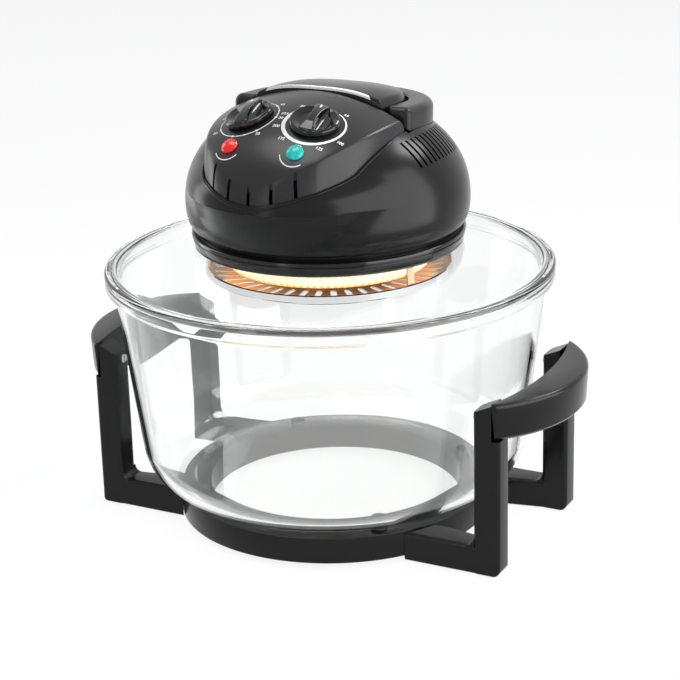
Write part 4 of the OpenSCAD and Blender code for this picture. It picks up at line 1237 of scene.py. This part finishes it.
class OVEN_OT_controls(bpy.types.Operator):
    """Dials, lenses and the printed scales round them"""

    bl_idname = "oven.controls"
    bl_label = "Controls"

    def execute(self, context):
        s = head()
        dials = ((-1, "timer_dial", "timer_knob"), (1, "temperature_dial", "temperature_knob"))
        for side, body, node in dials:
            place = panel_frame(side * s.dial_x, -s.dial_y) @ Matrix.Rotation(math.radians(6), 4, "Z")
            knob = solid(node + "_moulding", moved(self.skirt(s), place))
            carve(knob, "UNION", moved(self.grip(s), place))
            carve(knob, "DIFFERENCE", moved(round_bar(s.spindle_r, -MM, s.dial_h - 4 * MM), place))
            piece(knob, body, "knob_black", "knob", (node,), 38.0)
            # A white line on top of the grip's end, in the print finish: a painted highlight of the grip's
            # front edge, made to look like a printed pointer.
            low, high = s.dial_h - 4 * MM, s.dial_h - 2.75 * MM
            pointer_glint = box((-0.45 * MM, 9.6 * MM, low), (0.45 * MM, 13.0 * MM, high))
            piece(solid(node + "_mark", moved(pointer_glint, place)), body, "", "print")
        lenses = ((-1, "power_lens", "lens_red", "red"), (1, "heat_lens", "lens_teal", "teal"))
        for side, node, slot, look in lenses:
            jewel_shape = moved(self.lens(s), panel_frame(side * s.dial_x, -s.lens_y))
            piece(solid(node + "_moulding", jewel_shape), "head", slot, look, (node,), 5.0)
        piece(solid("panel_print", joined(self.scales(s))), "head", "", "print", (), 40.0)
        return {"FINISHED"}

    def skirt(self, s):
        """Low disc with a rounded rim and a dished face."""
        r = s.dial_r
        outline = [
            (0, 0.4 * MM), (r - 2 * MM, 0.4 * MM), (r, 0.7 * MM), (r, 3.4 * MM), (r - 1.7 * MM, 4.6 * MM),
            (r * 0.62, 2.3 * MM), (0, 2.0 * MM),
        ]
        corners = rounded(outline, [0, 0.3 * MM, 0.5 * MM, 1.4 * MM, 0.9 * MM, 3 * MM, 0], 6, False)
        rings = [circle(a, z, 128) for a, z in corners if a > 0]
        return loft([[(0, 0, outline[0][1])]] + rings + [[(0, 0, outline[-1][1])]])

    def grip(self, s):
        """Waisted bar across the dial, flared into the dish, with an arched and rounded top."""
        reach = s.dial_r - 1.1 * MM
        end_half, waist = 5.2 * MM, 3.2 * MM
        end_y = math.sqrt(reach * reach - end_half * end_half)
        levels = [(0.0, -3.4), (0.12, -2.4), (0.25, -1.3), (0.42, -0.5), (0.62, -0.1), (0.86, 0.1)]
        edge_turns = (0.4, 0.8, 1.2, math.pi / 2)
        levels += [(0.86 + 0.14 * math.sin(a), 0.1 + (1 - math.cos(a))) for a in edge_turns]
        foot = 1.6 * MM
        rings = []
        for up, inset in levels:
            inset *= MM
            slack = max(0.0, inset)
            side = []
            for i in range(25):
                y = end_y * (i / 12 - 1)
                width = waist + (end_half - waist) * (y / end_y) ** 2 - inset
                side.append((width, y * (1 - slack / end_y)))
            bulge = reach - end_y
            cap = []
            for i in range(1, 12):
                a = math.pi * i / 12
                y = end_y - slack + (bulge - 0.4 * slack) * math.sin(a)
                cap.append(((end_half - inset) * math.cos(a), y))
            ring = side + cap + [(-x, -y) for x, y in side] + [(-x, -y) for x, y in cap]
            top = [s.dial_h - 2.0 * MM - 2.6 * MM * (y / reach) ** 2 for x, y in ring]
            rings.append([(x, y, foot + (t - foot) * up) for (x, y), t in zip(ring, top)])
        middle = s.dial_h - 1.95 * MM
        rim = rings[-1]
        for k in (0.75, 0.5, 0.25):
            rings.append([(x * k, y * k, z + (middle - z) * (1 - k * k)) for x, y, z in rim])
        return loft(rings + [[(0, 0, middle)]])

    def lens(self, s):
        """Cut jewel on a round stem."""
        n = 14
        levels = ((1, 0.0, 0), (1, 0.9, 0), (0.84, 2.2, 1), (0.52, 3.2, 0), (0.2, 3.6, 1))
        verts, faces = [], []
        for share, z, half in levels:
            r = s.lens_r * share
            for i in range(n):
                a = 2 * math.pi * (i + half / 2) / n
                verts.append((r * math.cos(a), r * math.sin(a), z * MM))
        for k in range(len(levels) - 1):
            shift = levels[k + 1][2] - levels[k][2]
            for i in range(n):
                j = (i + 1) % n
                a, b = k * n, (k + 1) * n
                if shift == 0:
                    faces.append((a + i, a + j, b + j, b + i))
                elif shift > 0:
                    faces += [(a + i, a + j, b + i), (b + i, a + j, b + j)]
                else:
                    faces += [(a + i, b + j, b + i), (a + i, a + j, b + j)]
        top = (len(levels) - 1) * n
        faces.append(tuple(range(top, top + n)))
        stem = s.lens_r - 1.05 * MM
        first = len(verts)
        for z in (0.0, -8 * MM):
            verts += circle(stem, z, n)
        for i in range(n):
            j = (i + 1) % n
            faces += [(i, j, first + j, first + i), (first + i, first + j, first + n + j, first + n + i)]
        faces.append(tuple(range(first + n, first + 2 * n)))
        return verts, faces

    def scales(self, s):
        """Printed scales: a thin ring with dots, a ring that widens with the heat, and plain numbers."""
        ring, label, line = 21.6 * MM, 25 * MM, 0.6 * MM
        timer, heat = (-s.dial_x, -s.dial_y), (s.dial_x, -s.dial_y)
        shapes = [self.band(timer, ring, -4, 287, lambda k: line)]
        for i in range(7):
            turn = 48.5 * i - 4
            shapes.append(self.digits(timer, label, turn, str(10 * i)))
            shapes.append(self.dot(timer, ring, turn, 0.95 * MM))
            if i < 6:
                shapes.append(self.dot(timer, ring, turn + 24, 0.65 * MM))
        shapes.append(self.band(heat, ring, 22, 314, lambda k: (0.8 + 2.6 * k) * MM))
        for i in range(7):
            shapes.append(self.digits(heat, label, 110 + 34 * i, str(100 + 25 * i)))
        shapes.append(self.digits(heat, label, 30, "65"))
        for side in (-1, 1):
            shapes.append(self.band((side * s.dial_x, -s.lens_y), 10.6 * MM, 132, 246, lambda k: line))
        return shapes

    def on_panel(self, centre, r, turn, lift):
        """A point at a radius and a clockwise turn round a centre on the panel."""
        a = math.radians(turn)
        flat = panel_frame(*centre) @ Vector((r * math.sin(a), r * math.cos(a), 0))
        return Vector((flat.x, flat.y, panel_z(flat.x, flat.y) + lift))

    def band(self, centre, r, first, last, width):
        """A printed line round a centre, with a width for each share of its length."""
        steps = int((last - first) / 2)
        section = ((-1, -0.2), (1, -0.2), (1, 0.14), (-1, 0.14))
        rings = []
        for i in range(steps + 1):
            turn, w = first + (last - first) * i / steps, width(i / steps) / 2
            rings.append([self.on_panel(centre, r + a * w, turn, z * MM) for a, z in section])
        return loft(rings)

    def dot(self, centre, r, turn, radius):
        """A printed dot on a scale's ring."""
        at = self.on_panel(centre, r, turn, 0)
        return moved(round_bar(radius, -0.2 * MM, 0.14 * MM, 16), panel_frame(at.x, at.y))

    def digits(self, centre, r, turn, text):
        """Plain numbers that lie on the panel."""
        curve = bpy.data.curves.new("digits", "FONT")
        curve.body = text
        curve.size = 3.6 * MM
        curve.offset = 0.04 * MM
        curve.align_x = "CENTER"
        curve.align_y = "CENTER"
        curve.extrude = 0.17 * MM
        o = bpy.data.objects.new("digits", curve)
        bpy.context.scene.collection.objects.link(o)
        mesh = bpy.data.meshes.new_from_object(o.evaluated_get(bpy.context.evaluated_depsgraph_get()))
        aside = (len(text) - 1) * 0.8 * MM * abs(math.sin(math.radians(turn)))
        at = self.on_panel(centre, r + aside, turn, 0)
        base = panel_frame(at.x, at.y)
        verts = []
        for v in mesh.vertices:
            p = base @ Vector((v.co.x, v.co.y, 0))
            verts.append(Vector((p.x, p.y, panel_z(p.x, p.y) + v.co.z - 0.03 * MM)))
        faces = [tuple(p.vertices) for p in mesh.polygons]
        bpy.data.objects.remove(o)
        bpy.data.meshes.remove(mesh)
        return verts, faces


class OVEN_OT_heater(bpy.types.Operator):
    """Lamp, reflector, guard and convection fan"""

    bl_idname = "oven.heater"
    bl_label = "Heater"

    def execute(self, context):
        dress("filament", "lamp_filament")
        dress("tube", "lamp_tube")
        dress("ceramic", "lamp_ends", "terminal_block")
        dress("reflector", "reflector")
        dress("guard", "guard_grille")
        dress("chrome", "guard_ring")
        dress("steel", "heat_shield", "convection_fan")
        dress("guard", "guard_straps", "lamp_clips")
        return {"FINISHED"}


class OVEN_OT_works(bpy.types.Operator):
    """Motor, switch and the other pieces inside the head"""

    bl_idname = "oven.works"
    bl_label = "Inner works"

    def execute(self, context):
        dress("works", "timer_mechanism")
        dress("steel", "thermostat", "motor_bracket")
        dress("motor", "motor_stator", "motor_rotor", "safety_switch", "cooling_fan")
        dress("bronze", "motor_bushes")
        dress("phenolic", "thermal_cutout")
        dress("nylon", "switch_plunger")
        dress("screw", "handle_pins", "head_screws", "bracket_screws")
        dress("screw", "timer_spindle", "temperature_spindle", "motor_shaft")
        return {"FINISHED"}


class OVEN_PT_panel(bpy.types.Panel):
    """Lists the oven's operators and settings"""

    bl_label = "Halogen Oven"
    bl_idname = "OVEN_PT_panel"
    bl_space_type = "VIEW_3D"
    bl_region_type = "UI"
    bl_category = "Oven"

    def draw(self, context):
        for group in [getattr(context.scene, name) for name in GROUPS]:
            for key in group.bl_rna.properties.keys():
                if key not in ("rna_type", "name"):
                    self.layout.prop(group, key)
        for op in OPERATORS:
            self.layout.operator(op.bl_idname)


OPERATORS = (
    OVEN_OT_camera_and_stage,
    OVEN_OT_stand,
    OVEN_OT_glass,
    OVEN_OT_shell,
    OVEN_OT_panel_and_crown,
    OVEN_OT_handle,
    OVEN_OT_controls,
    OVEN_OT_heater,
    OVEN_OT_works,
)
GROUPS = {"oven_head": OvenHead, "oven_stand": OvenStand, "oven_glass": OvenGlass, "oven_look": OvenLook}
CLASSES = tuple(GROUPS.values()) + OPERATORS + (OVEN_PT_panel,)


def register():
    for c in CLASSES:
        bpy.utils.register_class(c)
    for name, group in GROUPS.items():
        setattr(bpy.types.Scene, name, PointerProperty(type=group))


def unregister():
    for name in GROUPS:
        delattr(bpy.types.Scene, name)
    for c in reversed(CLASSES):
        bpy.utils.unregister_class(c)


def main():
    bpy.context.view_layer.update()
    register()
    for op in OPERATORS:
        group, call = op.bl_idname.split(".")
        getattr(getattr(bpy.ops, group), call)()


if __name__ == "__main__":
    main()
